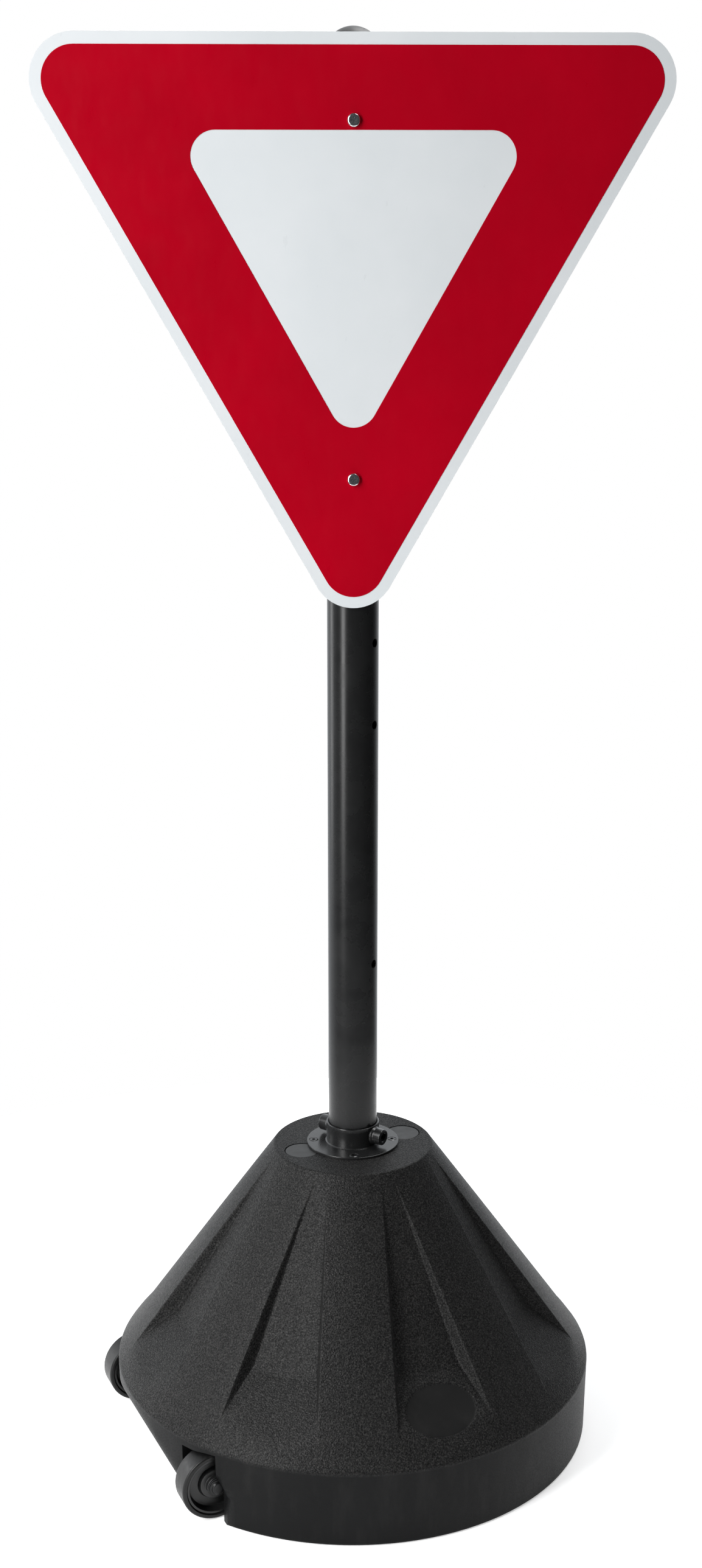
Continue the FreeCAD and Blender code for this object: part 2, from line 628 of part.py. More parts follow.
# ---------------------------------------------------------------- post
def make_post():
    """The post with its cross holes, the foot plug and the domed cap."""
    inner = "( postRadius - postWall )"
    foot_low = "( pocketFloor + standGap )"
    foot_high = f"( {foot_low} + footLip )"
    blank = ring("post_blank", inner, "postRadius", foot_high, "postTop")
    across = [drill(f"cross_drill_{label}", "crossHoleRadius", "4 * postRadius",
                    along("crossHoleAngle", height))
              for label, height in (("top", "crossHoleTop"), ("middle", "crossHoleMiddle"),
                                    ("low", "crossHoleLow"))]
    bolts = [drill(f"bolt_drill_{label}", "boltRadius + boltHoleClearance", "4 * postRadius",
                   facing_front(height))
             for label, height in (("upper", "boltUpper"), ("lower", "boltLower"))]
    post = cut_away("post_tube", blank, fuse("post_drills", across + bolts))
    liner = f"( {inner} - plugInset )"
    foot = turned("post_foot", [
        ("0", foot_low), ("postRadius", foot_low), ("postRadius", foot_high),
        (liner, foot_high), (liner, f"( {foot_high} + footPlug )"),
        (f"( {liner} - linerWall )", f"( {foot_high} + footPlug )"),
        (f"( {liner} - linerWall )", foot_high), ("0", foot_high)])

    ball = doc.addObject("Part::Sphere", "cap_ball")
    bind(ball, "Radius", "domeRadius")
    bind(ball, "Placement.Base.z", "postTop + domeHeight - domeRadius")
    trim = doc.addObject("Part::Cylinder", "cap_trim")
    bind(trim, "Radius", "postRadius")
    bind(trim, "Height", "2 * domeHeight")
    bind(trim, "Placement.Base.z", "postTop")
    dome = doc.addObject("Part::Common", "cap_dome")
    dome.Base = ball
    dome.Tool = trim
    stem = ring("cap_stem", f"( {liner} - linerWall )", liner, "( postTop - capPlug )",
                "( postTop + stemOverlap )")
    cap = doc.addObject("Part::Fuse", "post_cap")
    cap.Base = dome
    cap.Tool = stem
    cap.Label = "post_cap"
    return [post, foot, cap]


# ---------------------------------------------------------------- sign
def triangle(side, top):
    """Corners of an upside-down equilateral triangle with its top edge level."""
    return [(f"0 - {side} / 2", top), (f"{side} / 2", top), ("0", f"( {top} - {side} * sqrt( 3 ) / 2 )")]


def corner_edges(shape, corners, gap):
    """Names of the edges along Y that stand on the given corners."""
    spots = [(value(across), value(up)) for across, up in corners]
    names = []
    for index, edge in enumerate(shape.Edges, start=1):
        ends = [vertex.Point for vertex in edge.Vertexes]
        if len(ends) != 2 or abs(ends[0].y - ends[1].y) < gap:
            continue
        if any(abs(ends[0].x - x) < 0.01 and abs(ends[0].z - z) < 0.01 for x, z in spots):
            names.append(f"Edge{index}")
    return names


def round_corners(body, corners, radius, thickness):
    """Round a triangle's three corners."""
    doc.recompute()
    base = body.Tip
    names = corner_edges(base.Shape, corners, value(thickness) / 2)
    fillet = body.newObject("PartDesign::Fillet", f"{body.Name}_corners{len(body.Group)}")
    fillet.Base = (base, names)
    bind(fillet, "Radius", radius)
    body.Tip = fillet


def facing_sheet(name, inset, back, thickness):
    """A flat triangular layer of the sign with its two bolt holes."""
    body = new_body(name)
    corners = triangle(f"( signSide - 2 * sqrt( 3 ) * {inset} )", f"( signTop - {inset} )")
    sketch = sketch_on(body, "XZ_Plane", f"{name}_outline", back)
    outline(sketch, corners)
    pad = body.newObject("PartDesign::Pad", f"{name}_pad")
    pad.Profile = sketch
    bind(pad, "Length", thickness)
    body.Tip = pad
    round_corners(body, corners, f"signCorner - {inset}", thickness)
    holes = sketch_on(body, "XZ_Plane", f"{name}_holes")
    for height in ("boltUpper", "boltLower"):
        circle(holes, "0", height, "boltRadius + boltHoleClearance")
    pocket_through(body, holes, f"{name}_hole_cut")
    return body


def make_sign():
    """Aluminium plate, white sheeting over all of it and the red band on top."""
    back = "( postRadius + plateGap )"
    face = f"( {back} + plateThickness )"
    film = f"( {face} + sheetThickness )"
    plate = facing_sheet("sign_plate", "0", back, "plateThickness")
    white = facing_sheet("white_sheeting", "0", face, "sheetThickness")
    red = facing_sheet("red_band", "borderWidth", film, "sheetThickness")
    window = sketch_on(red, "XZ_Plane", "red_band_window")
    corners = triangle("bandInnerSide", "bandInnerTop")
    outline(window, corners)
    pocket_through(red, window, "red_band_window_cut")
    round_corners(red, corners, "bandInnerCorner", "sheetThickness")
    return [plate, white, red]


def make_sign_fasteners(label, height):
    """One through bolt with its washer and nut behind the post."""
    seat = "( postRadius + plateGap + plateThickness + 2 * sheetThickness )"
    crown = f"( {seat} + boltHeadHeight )"
    bolt = turned(f"sign_bolt_{label}", [
        ("0", "0 - boltTail"), ("boltRadius", "0 - boltTail"), ("boltRadius", seat),
        ("boltHeadRadius", seat), ("boltHeadRadius", crown), ("0", crown)],
        [("boltHeadRadius", crown, "boltHeadRound")])
    washer_face = "( 0 - postRadius - washerGap )"
    nut_face = f"( {washer_face} - washerThickness )"
    bore = "( boltRadius + threadClearance )"
    washer = ring(f"sign_washer_{label}", bore, "washerRadius", nut_face, washer_face)
    nut = new_body(f"sign_nut_{label}")
    flats = sketch_on(nut, "XY_Plane", f"sign_nut_{label}_flats", f"( {nut_face} - nutHeight )")
    hexagon(flats, "nutFlat")
    circle(flats, "0", "0", bore)
    block = nut.newObject("PartDesign::Pad", f"sign_nut_{label}_block")
    block.Profile = flats
    bind(block, "Length", "nutHeight")
    nut.Tip = block
    pieces = [bolt, washer, nut]
    for piece in pieces:
        piece.Placement = facing_front(height)
    return pieces


# ---------------------------------------------------------------- assembly and output
def build_all():
    """Every sub-part of the signpost, in the order in which it goes together."""
    pieces = [make_base(), make_ballast(), make_plug("fill_plug", "1"), make_plug("vent_plug", "-1")]
    pieces += make_socket() + make_flange_fasteners()
    pieces += make_wheel("front", 1) + make_wheel("rear", -1)
    pieces += make_post() + make_sign()
    pieces += make_sign_fasteners("upper", "boltUpper") + make_sign_fasteners("lower", "boltLower")
    return pieces


def check(pieces):
    """Stop if anything failed to build."""
    for item in doc.Objects:
        if "Invalid" in item.State or "Error" in item.State:
            raise RuntimeError(f"{item.Name} failed: {item.State} {item.getStatusString()}")
    for piece in pieces:
        if piece.Shape.isNull() or not piece.Shape.isValid() or not piece.Shape.Solids:
            raise RuntimeError(f"{piece.Label} has no valid solid")


def write(pieces):
    """Write each sub-part to its own file."""
    os.makedirs("parts", exist_ok=True)
    for piece in pieces:
        piece.Shape.exportStep(f"parts/{piece.Label}.step")
        print(f"{piece.Label}: {len(piece.Shape.Solids)} solid, {piece.Shape.Volume:.0f} mm3")


subparts = build_all()
doc.recompute()
check(subparts)
write(subparts)
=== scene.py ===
"""Portable give-way signpost: the finished look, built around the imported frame.

A fluted plastic base tips and rolls on two wheels. A steel socket on its top holds a
round post, which lifts out, and a triangular plate is bolted to the post. Sizes in the
classes are millimetres; meshes are metres, in the frame's own coordinates.
"""

import json
import logging
import math
from dataclasses import dataclass, field
from enum import Enum
from typing import Callable, Iterable, Optional, Sequence

import bmesh
import bpy
import numpy as np
from mathutils import Matrix, Vector

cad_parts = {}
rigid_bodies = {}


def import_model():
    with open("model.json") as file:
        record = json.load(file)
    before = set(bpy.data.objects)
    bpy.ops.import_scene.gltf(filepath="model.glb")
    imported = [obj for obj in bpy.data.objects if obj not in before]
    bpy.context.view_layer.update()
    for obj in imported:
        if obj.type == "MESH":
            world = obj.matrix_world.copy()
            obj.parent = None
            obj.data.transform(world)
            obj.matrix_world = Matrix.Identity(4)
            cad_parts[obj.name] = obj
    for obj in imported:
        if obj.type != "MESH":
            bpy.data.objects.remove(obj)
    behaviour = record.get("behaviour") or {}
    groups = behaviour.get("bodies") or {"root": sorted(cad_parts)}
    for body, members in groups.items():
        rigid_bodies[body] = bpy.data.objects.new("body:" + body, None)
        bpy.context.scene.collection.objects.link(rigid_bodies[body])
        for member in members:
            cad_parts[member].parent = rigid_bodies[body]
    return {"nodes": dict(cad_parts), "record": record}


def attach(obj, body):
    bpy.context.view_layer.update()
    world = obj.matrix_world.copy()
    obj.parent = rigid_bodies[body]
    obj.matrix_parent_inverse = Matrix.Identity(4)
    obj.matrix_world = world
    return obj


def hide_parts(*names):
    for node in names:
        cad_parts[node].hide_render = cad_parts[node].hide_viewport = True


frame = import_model()

MM = 0.001
LOG = logging.getLogger("signpost")

THREAD_PITCH = 1.25
FRAME_HEIGHT = 2576.0

Pair = tuple[float, float]
Colour = tuple[float, float, float]


class Body(Enum):
    """The moving bodies that pieces ride on."""

    BASE = "base"
    MAST = "mast"
    FRONT_SCREW = "set_screw_front"
    REAR_SCREW = "set_screw_rear"
    FRONT_WHEEL = "front_wheel"
    REAR_WHEEL = "rear_wheel"


class Slot(Enum):
    """The record's material slots."""

    MOULDED = "moulded_black"
    BALLAST = "ballast"
    STEEL = "black_steel"
    POST = "post_coating"
    PLASTIC = "grey_plastic"
    RUBBER = "wheel_rubber"
    WHEEL = "wheel_plastic"
    FASTENER = "black_fastener"
    INSERT = "insert_metal"
    ALUMINIUM = "sign_aluminium"
    WHITE = "white_sheet"
    RED = "red_sheet"
    ZINC = "zinc"


# ------------------------------------------------------------------ finishes
class Painter:
    """Builds the nodes of one material around a Principled shader."""

    def __init__(self, name: str) -> None:
        """Start an empty material.

        Args:
            name: The material's name.
        """
        self.material = bpy.data.materials.new(name)
        self.material.use_nodes = True
        self.nodes = self.material.node_tree.nodes
        self.links = self.material.node_tree.links
        self.shader = self.nodes["Principled BSDF"]
        self.place = self.nodes.new("ShaderNodeTexCoord").outputs["Object"]

    def link(self, source: bpy.types.NodeSocket, target: bpy.types.NodeSocket) -> None:
        """Join two sockets."""
        self.links.new(source, target)

    def stretched(self, scale: Sequence[float]) -> bpy.types.NodeSocket:
        """Object coordinates stretched along each axis."""
        node = self.nodes.new("ShaderNodeMapping")
        node.inputs["Scale"].default_value = scale
        self.link(self.place, node.inputs["Vector"])
        return node.outputs["Vector"]

    def noise(self, size: float, detail: float = 3.0, rough: float = 0.55,
              stretch: Optional[Sequence[float]] = None) -> bpy.types.NodeSocket:
        """Cloudy noise.

        Args:
            size: Size of a blotch in millimetres.
            detail: How many finer layers it has.
            rough: How strong the finer layers are.
            stretch: Optional scale of each axis.

        Returns:
            A value from 0 to 1.
        """
        node = self.nodes.new("ShaderNodeTexNoise")
        node.inputs["Scale"].default_value = 1.0 / (size * MM)
        node.inputs["Detail"].default_value = detail
        node.inputs["Roughness"].default_value = rough
        source = self.stretched(stretch) if stretch else self.place
        self.link(source, node.inputs["Vector"])
        return node.outputs["Fac"]

    def cells(self, size: float, smooth: float = 0.6) -> bpy.types.NodeSocket:
        """Rounded cells like pebbles.

        Args:
            size: Size of a cell in millimetres.
            smooth: How far neighbouring cells run together.

        Returns:
            The distance to the cell's middle.
        """
        node = self.nodes.new("ShaderNodeTexVoronoi")
        node.feature = "SMOOTH_F1"
        node.inputs["Scale"].default_value = 1.0 / (size * MM)
        node.inputs["Smoothness"].default_value = smooth
        self.link(self.place, node.inputs["Vector"])
        return node.outputs["Distance"]

    def height(self) -> bpy.types.NodeSocket:
        """Height above the floor in metres."""
        node = self.nodes.new("ShaderNodeSeparateXYZ")
        self.link(self.place, node.inputs["Vector"])
        return node.outputs["Z"]

    def spread(self, value: bpy.types.NodeSocket, low: float, high: float,
               start: float, end: float) -> bpy.types.NodeSocket:
        """Map a value's range onto another range.

        Args:
            value: The value to map.
            low: Value that gives start.
            high: Value that gives end.
            start: Result at low.
            end: Result at high.

        Returns:
            The mapped value.
        """
        node = self.nodes.new("ShaderNodeMapRange")
        self.link(value, node.inputs["Value"])
        for name, number in (("From Min", low), ("From Max", high),
                             ("To Min", start), ("To Max", end)):
            node.inputs[name].default_value = number
        return node.outputs["Result"]

    def maths(self, operation: str, first: bpy.types.NodeSocket,
              second: bpy.types.NodeSocket | float) -> bpy.types.NodeSocket:
        """One step of arithmetic on two values."""
        node = self.nodes.new("ShaderNodeMath")
        node.operation = operation
        self.link(first, node.inputs[0])
        if isinstance(second, (int, float)):
            node.inputs[1].default_value = second
        else:
            self.link(second, node.inputs[1])
        return node.outputs[0]

    def ramp(self, value: bpy.types.NodeSocket,
             stops: Sequence[tuple[float, Colour]]) -> bpy.types.NodeSocket:
        """Turn a value into colours.

        Args:
            value: The value to look up.
            stops: Positions with their colours.

        Returns:
            The colour.
        """
        node = self.nodes.new("ShaderNodeValToRGB")
        elements = node.color_ramp.elements
        while len(elements) < len(stops):
            elements.new(0.5)
        for element, (position, colour) in zip(elements, stops):
            element.position = position
            element.color = (*colour, 1.0)
        self.link(value, node.inputs["Fac"])
        return node.outputs["Color"]

    def blend(self, share: bpy.types.NodeSocket, first: bpy.types.NodeSocket,
              second: bpy.types.NodeSocket | Colour) -> bpy.types.NodeSocket:
        """Mix two colours by a share from 0 to 1."""
        node = self.nodes.new("ShaderNodeMix")
        node.data_type = "RGBA"
        self.link(share, node.inputs["Factor"])
        self.link(first, node.inputs[6])
        if isinstance(second, tuple):
            node.inputs[7].default_value = (*second, 1.0)
        else:
            self.link(second, node.inputs[7])
        return node.outputs[2]

    def bump(self, value: bpy.types.NodeSocket, depth: float, strength: float = 1.0,
             under: Optional[bpy.types.NodeSocket] = None) -> bpy.types.NodeSocket:
        """Raise the surface by a value.

        Args:
            value: The height pattern.
            depth: Height of the pattern in millimetres.
            strength: Share of the bump that shows.
            under: Another bump to lay this one on.

        Returns:
            The bent normal.
        """
        node = self.nodes.new("ShaderNodeBump")
        node.inputs["Distance"].default_value = depth * MM
        node.inputs["Strength"].default_value = strength
        self.link(value, node.inputs["Height"])
        if under is not None:
            self.link(under, node.inputs["Normal"])
        return node.outputs["Normal"]

    def set(self, **sockets: object) -> "Painter":
        """Set or link the shader's sockets, spaces in their names written as underscores."""
        for name, value in sockets.items():
            socket = self.shader.inputs[name.replace("_", " ")]
            if isinstance(value, bpy.types.NodeSocket):
                self.link(value, socket)
            elif isinstance(value, tuple) and len(value) == 3:
                socket.default_value = (*value, 1.0)
            else:
                socket.default_value = value
        return self


def grey(level: float, tint: float = 0.0) -> Colour:
    """A grey, cooled a little by a positive tint and warmed by a negative one."""
    return (level * (1.0 - tint), level, level * (1.0 + tint))


@dataclass(frozen=True)
class TexturedPlastic:
    """Rotationally moulded plastic with a sprayed pebble grain above the rim."""

    name: str = "moulded_black_plastic"
    dark: float = 0.003
    light: float = 0.042
    # Grey of the smooth oval: its own tone lightened by a painted sheen.
    pad_tone_and_sheen: float = 0.013
    speckle: float = 1.8
    pebble: float = 1.7
    band_top: float = 0.092
    pad_spot: tuple[float, float, float] = (0.09873, -0.23836, 0.0)
    pad_turn: float = 202.5
    pad_half: tuple[float, float, float] = (0.044, 0.0239, 1000.0)

    def make(self) -> bpy.types.Material:
        """Build the material."""
        paint = Painter(self.name)
        speckle = paint.noise(self.speckle, 3.0, 0.7)
        pebbles = paint.cells(self.pebble)
        clouds = paint.noise(90.0, 3.0)
        streaks = paint.noise(22.0, 4.0, 0.6, (1.0, 1.0, 0.25))
        above = paint.spread(paint.height(), self.band_top, self.band_top + 0.006, 0.0, 1.0)
        tone = paint.ramp(speckle, [(0.38, grey(self.dark)), (0.52, grey(self.light * 0.4)),
                                    (0.66, grey(self.light, -0.03))])
        smooth = paint.ramp(clouds, [(0.3, grey(self.dark, 0.06)),
                                     (0.7, grey(self.dark * 1.5, 0.06))])
        outside = self.outside_pad(paint)
        colour = paint.blend(above, smooth, tone)
        # Inside the oval (above minus outside is 1 there) the colour becomes one lighter grey: the
        # oval's own smooth tone plus a painted sheen.
        oval_tone_and_sheen_mask = paint.maths("SUBTRACT", above, outside)
        colour = paint.blend(oval_tone_and_sheen_mask, colour, grey(self.pad_tone_and_sheen))
        above = paint.maths("MULTIPLY", above, outside)
        dust = paint.spread(streaks, 0.52, 0.78, 0.0, 0.2)
        colour = paint.blend(dust, colour, grey(0.03, -0.04))
        rough = paint.spread(speckle, 0.3, 0.7, 0.60, 0.36)
        shown = paint.maths("MULTIPLY", pebbles, paint.maths("MULTIPLY", above, 0.8))
        fine = paint.bump(paint.noise(0.8, 2.0), 0.05, 0.5)
        normal = paint.bump(shown, 0.6, 0.9, fine)
        paint.set(Base_Color=colour, Roughness=rough, Normal=normal, Specular_IOR_Level=0.13)
        return paint.material


    def outside_pad(self, paint: Painter) -> bpy.types.NodeSocket:
        """1 over the grained surface and 0 over the smooth oval.

        Args:
            paint: The material being built.

        Returns:
            The mask, measured level from the oval's middle.
        """
        turn = paint.nodes.new("ShaderNodeMapping")
        turn.vector_type = "TEXTURE"
        turn.inputs["Location"].default_value = self.pad_spot
        turn.inputs["Rotation"].default_value = (0.0, 0.0, math.radians(self.pad_turn))
        turn.inputs["Scale"].default_value = self.pad_half
        paint.link(paint.place, turn.inputs["Vector"])
        reach = paint.nodes.new("ShaderNodeVectorMath")
        reach.operation = "LENGTH"
        paint.link(turn.outputs["Vector"], reach.inputs[0])
        return paint.spread(reach.outputs["Value"], 0.96, 1.02, 0.0, 1.0)


@dataclass(frozen=True)
class SmoothPlastic:
    """Injection-moulded plastic with faint flow marks."""

    name: str
    level: float
    rough: float = 0.42
    tint: float = 0.0

    def make(self) -> bpy.types.Material:
        """Build the material."""
        paint = Painter(self.name)
        flow = paint.noise(14.0, 3.0)
        fine = paint.noise(0.7, 2.0)
        colour = paint.ramp(flow, [(0.3, grey(self.level * 0.8, self.tint)),
                                   (0.7, grey(self.level * 1.25, self.tint))])
        rough = paint.spread(flow, 0.3, 0.7, self.rough - 0.06, self.rough + 0.08)
        paint.set(Base_Color=colour, Roughness=rough, Normal=paint.bump(fine, 0.04, 0.5))
        return paint.material


@dataclass(frozen=True)
class Rubber:
    """Solid tyre rubber, dusty where it rolls."""

    name: str = "tyre_rubber"
    level: float = 0.005

    def make(self) -> bpy.types.Material:
        """Build the material."""
        paint = Painter(self.name)
        dust = paint.noise(7.0, 5.0, 0.65)
        grit = paint.noise(0.5, 3.0)
        colour = paint.ramp(dust, [(0.35, grey(self.level, 0.02)), (0.62, grey(self.level * 1.5)),
                                   (0.8, grey(self.level * 2.4, -0.05))])
        rough = paint.spread(dust, 0.3, 0.75, 0.28, 0.5)
        normal = paint.bump(grit, 0.05, 0.5, paint.bump(dust, 0.12, 0.4))
        paint.set(Base_Color=colour, Roughness=rough, Normal=normal, Specular_IOR_Level=0.3)
        return paint.material


@dataclass(frozen=True)
class PaintedSteel:
    """Powder coat or black paint on steel, with orange peel."""

    name: str
    level: float
    rough: float
    peel: float = 0.04
    coat: float = 0.0
    tint: float = 0.02
    metal: float = 0.0
    gloss: float = 0.5

    def make(self) -> bpy.types.Material:
        """Build the material."""
        paint = Painter(self.name)
        peel = paint.noise(1.1, 2.0)
        clouds = paint.noise(40.0, 4.0, 0.6)
        scuffs = paint.noise(5.0, 6.0, 0.7, (1.0, 1.0, 0.35))
        colour = paint.ramp(clouds, [(0.3, grey(self.level * 0.85, self.tint)),
                                     (0.7, grey(self.level * 1.2, self.tint))])
        worn = paint.spread(scuffs, 0.68, 0.85, 0.0, 0.2)
        colour = paint.blend(worn, colour, grey(self.level * 2.2 + 0.01))
        rough = paint.spread(clouds, 0.25, 0.75, self.rough - 0.05, self.rough + 0.07)
        paint.set(Base_Color=colour, Roughness=rough, Metallic=self.metal,
                  Normal=paint.bump(peel, self.peel, 0.5), Coat_Weight=self.coat,
                  Coat_Roughness=0.2, Specular_IOR_Level=self.gloss)
        return paint.material


@dataclass(frozen=True)
class PlatedMetal:
    """Bright plated or cast metal with a mottled tarnish."""

    name: str
    colour: Colour
    dull: Colour
    rough: float = 0.2

    def make(self) -> bpy.types.Material:
        """Build the material."""
        paint = Painter(self.name)
        mottle = paint.noise(2.5, 4.0, 0.6)
        scratches = paint.noise(0.6, 3.0, 0.6, (1.0, 0.12, 1.0))
        colour = paint.ramp(mottle, [(0.3, self.dull), (0.62, self.colour)])
        rough = paint.spread(mottle, 0.3, 0.7, self.rough + 0.14, self.rough)
        paint.set(Base_Color=colour, Roughness=rough, Metallic=1.0,
                  Normal=paint.bump(scratches, 0.02, 0.5))
        return paint.material


@dataclass(frozen=True)
class BrushedAluminium:
    """Rolled aluminium sheet with level grain and a dull oxide."""

    name: str = "brushed_aluminium"

    def make(self) -> bpy.types.Material:
        """Build the material."""
        paint = Painter(self.name)
        grain = paint.noise(0.9, 4.0, 0.65, (0.02, 1.0, 1.0))
        oxide = paint.noise(60.0, 5.0, 0.6)
        base = paint.ramp(grain, [(0.3, grey(0.42, 0.01)), (0.7, grey(0.6, 0.015))])
        stain = paint.spread(oxide, 0.45, 0.75, 0.0, 0.45)
        colour = paint.blend(stain, base, grey(0.36, 0.02))
        rough = paint.spread(oxide, 0.3, 0.7, 0.36, 0.52)
        paint.set(Base_Color=colour, Roughness=rough, Metallic=1.0,
                  Normal=paint.bump(grain, 0.02, 0.5))
        return paint.material


@dataclass(frozen=True)
class SignSheeting:
    """Reflective sheeting: beads under a clear glossy film."""

    name: str
    colour: Colour
    deep: Colour
    gloss: float
    rough: float = 0.32

    def make(self) -> bpy.types.Material:
        """Build the material."""
        paint = Painter(self.name)
        clouds = paint.noise(140.0, 3.0)
        beads = paint.noise(0.5, 1.0)
        smears = paint.noise(16.0, 5.0, 0.6, (1.0, 1.0, 0.4))
        colour = paint.ramp(clouds, [(0.3, self.deep), (0.7, self.colour)])
        rough = paint.spread(smears, 0.3, 0.7, self.rough - 0.05, self.rough + 0.08)
        paint.set(Base_Color=colour, Roughness=rough, Normal=paint.bump(beads, 0.008, 0.35),
                  Specular_IOR_Level=self.gloss)
        return paint.material


@dataclass(frozen=True)
class Sand:
    """Damp sand fill."""

    name: str = "sand_fill"

    def make(self) -> bpy.types.Material:
        """Build the material."""
        paint = Painter(self.name)
        grains = paint.cells(1.2, 0.3)
        lumps = paint.noise(12.0, 5.0)
        colour = paint.ramp(lumps, [(0.3, (0.30, 0.22, 0.13)), (0.7, (0.52, 0.41, 0.27))])
        paint.set(Base_Color=colour, Roughness=0.9, Normal=paint.bump(grains, 0.5, 0.8))
        return paint.material


class Finishes:
    """Every finish of the signpost, by material slot."""

    def __init__(self) -> None:
        """Build all the materials once."""
        makers = {
            Slot.MOULDED: TexturedPlastic(),
            Slot.BALLAST: Sand(),
            Slot.STEEL: PaintedSteel("socket_black_paint", 0.012, 0.26, 0.03, 0.3),
            Slot.POST: PaintedSteel("post_powder_coat", 0.013, 0.26, 0.02, gloss=0.3),
            Slot.PLASTIC: SmoothPlastic("grey_moulded_plastic", 0.05, 0.45),
            Slot.RUBBER: Rubber(),
            Slot.WHEEL: SmoothPlastic("wheel_polypropylene", 0.011, 0.36, 0.02),
            Slot.FASTENER: PaintedSteel("black_oxide", 0.016, 0.3, 0.02, 0.0, 0.02, 0.6),
            Slot.INSERT: PlatedMetal("brass", (0.72, 0.52, 0.2), (0.5, 0.36, 0.16), 0.3),
            Slot.ALUMINIUM: BrushedAluminium(),
            Slot.WHITE: SignSheeting("white_sheeting", (0.80, 0.83, 0.85), (0.74, 0.78, 0.80), 0.4),
            Slot.RED: SignSheeting("red_film", (0.46, 0.0005, 0.012), (0.40, 0.0004, 0.010), 0.1),
            Slot.ZINC: PlatedMetal("bright_zinc", (0.80, 0.82, 0.84), (0.58, 0.60, 0.62), 0.16),
        }
        self.by_slot = {slot: maker.make() for slot, maker in makers.items()}
        self.plug = SmoothPlastic("plug_plastic", 0.017, 0.42).make()

    def dress_nodes(self) -> None:
        """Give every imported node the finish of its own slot."""
        slots = {item["node"]: item["material_slot"] for item in frame["record"]["subparts"]}
        for name, node in frame["nodes"].items():
            node.data.materials.clear()
            node.data.materials.append(self.by_slot[Slot(slots[name])])


# ------------------------------------------------------------------ shapes
def rounded(corners: Sequence[Pair], radii: Sequence[float], steps: int = 6) -> list[Pair]:
    """Round the inner corners of an open line.

    Args:
        corners: The line's points.
        radii: One radius per point; 0 keeps the corner.
        steps: Pieces of each arc.

    Returns:
        The rounded line.
    """
    points = [np.array(corner, float) for corner in corners]
    line: list[Pair] = []
    for index, (point, radius) in enumerate(zip(points, radii)):
        if radius <= 0 or index in (0, len(points) - 1):
            line.append(tuple(point))
            continue
        back, ahead = points[index - 1] - point, points[index + 1] - point
        reach = min(np.linalg.norm(back), np.linalg.norm(ahead)) * 0.495
        back, ahead = back / np.linalg.norm(back), ahead / np.linalg.norm(ahead)
        half = math.acos(max(-1.0, min(1.0, float(back @ ahead)))) / 2
        run = min(radius / math.tan(half), reach)
        size = run * math.tan(half)
        middle = point + (back + ahead) / np.linalg.norm(back + ahead) * size / math.sin(half)
        first, last = point + back * run - middle, point + ahead * run - middle
        turn = math.pi - 2 * half
        for step in range(steps + 1):
            share = step / steps
            mixed = (math.sin((1 - share) * turn) * first + math.sin(share * turn) * last)
            line.append(tuple(middle + mixed / math.sin(turn)))
    return line


def divided(line: Sequence[Pair], longest: Callable[[Pair, Pair], float]) -> list[Pair]:
    """Divide a line's long runs.

    Args:
        line: The line's points.
        longest: Gives the longest run allowed between two neighbouring points.

    Returns:
        The line with points added.
    """
    result = [line[0]]
    for first, last in zip(line, line[1:]):
        count = max(1, math.ceil(math.dist(first, last) / longest(first, last)))
        result += [(first[0] + (last[0] - first[0]) * step / count,
                    first[1] + (last[1] - first[1]) * step / count)
                   for step in range(1, count + 1)]
    return result


def as_object(name: str, points: Iterable[Sequence[float]],
              faces: Iterable[Sequence[int]]) -> bpy.types.Object:
    """A linked object with a clean closed mesh.

    Args:
        name: The object's name.
        points: Points in metres.
        faces: Faces as point numbers.

    Returns:
        The object, at the origin.
    """
    mesh = bpy.data.meshes.new(name)
    mesh.from_pydata([tuple(point) for point in points], [], [tuple(face) for face in faces])
    item = bpy.data.objects.new(name, mesh)
    bpy.context.scene.collection.objects.link(item)
    tidy(item)
    return item


def tidy(item: bpy.types.Object, weld: float = 1e-6) -> None:
    """Merge doubles and turn every face outwards.

    Args:
        item: The object to clean.
        weld: Points nearer than this, in metres, become one.
    """
    work = bmesh.new()
    work.from_mesh(item.data)
    bmesh.ops.remove_doubles(work, verts=work.verts, dist=weld)
    bmesh.ops.dissolve_degenerate(work, edges=work.edges, dist=weld)
    bmesh.ops.recalc_face_normals(work, faces=work.faces)
    work.to_mesh(item.data)
    work.free()
    item.data.update()


def turned(name: str, profile: Sequence[Pair], place: Matrix = Matrix(), segments: int = 96,
           closed: bool = False) -> bpy.types.Object:
    """A piece turned about its own Z axis.

    Args:
        name: The object's name.
        profile: Radius and height pairs in millimetres.
        place: Where the piece's own frame stands, in metres.
        segments: Sides of the turned circle.
        closed: Whether the last point joins the first.

    Returns:
        The object, its place in its mesh.
    """
    angles = np.linspace(0, 2 * math.pi, segments, endpoint=False)
    rings = np.array(profile, float) * MM
    points = np.stack([
        rings[:, None, 0] * np.cos(angles)[None], rings[:, None, 0] * np.sin(angles)[None],
        np.repeat(rings[:, 1:2], segments, 1)], -1).reshape(-1, 3)
    count = len(profile)
    faces = []
    for row in range(count if closed else count - 1):
        upper = (row + 1) % count
        for column in range(segments):
            beside = (column + 1) % segments
            faces.append((row * segments + column, row * segments + beside,
                          upper * segments + beside, upper * segments + column))
    item = as_object(name, points, faces)
    item.data.transform(place)
    return item


def prism(name: str, outline: Sequence[Pair], low: float, high: float,
          place: Matrix = Matrix()) -> bpy.types.Object:
    """A straight prism, drawn in millimetres on its own XY plane.

    Args:
        name: The object's name.
        outline: Corners in order.
        low: Lower end.
        high: Upper end.
        place: Where the piece's own frame stands, in metres.

    Returns:
        The object, its place in its mesh.
    """
    count = len(outline)
    points = [(x * MM, y * MM, z * MM) for z in (low, high) for x, y in outline]
    faces = [tuple(range(count)), tuple(range(count, 2 * count))]
    faces += [(index, (index + 1) % count, count + (index + 1) % count, count + index)
              for index in range(count)]
    item = as_object(name, points, faces)
    item.data.transform(place)
    return item


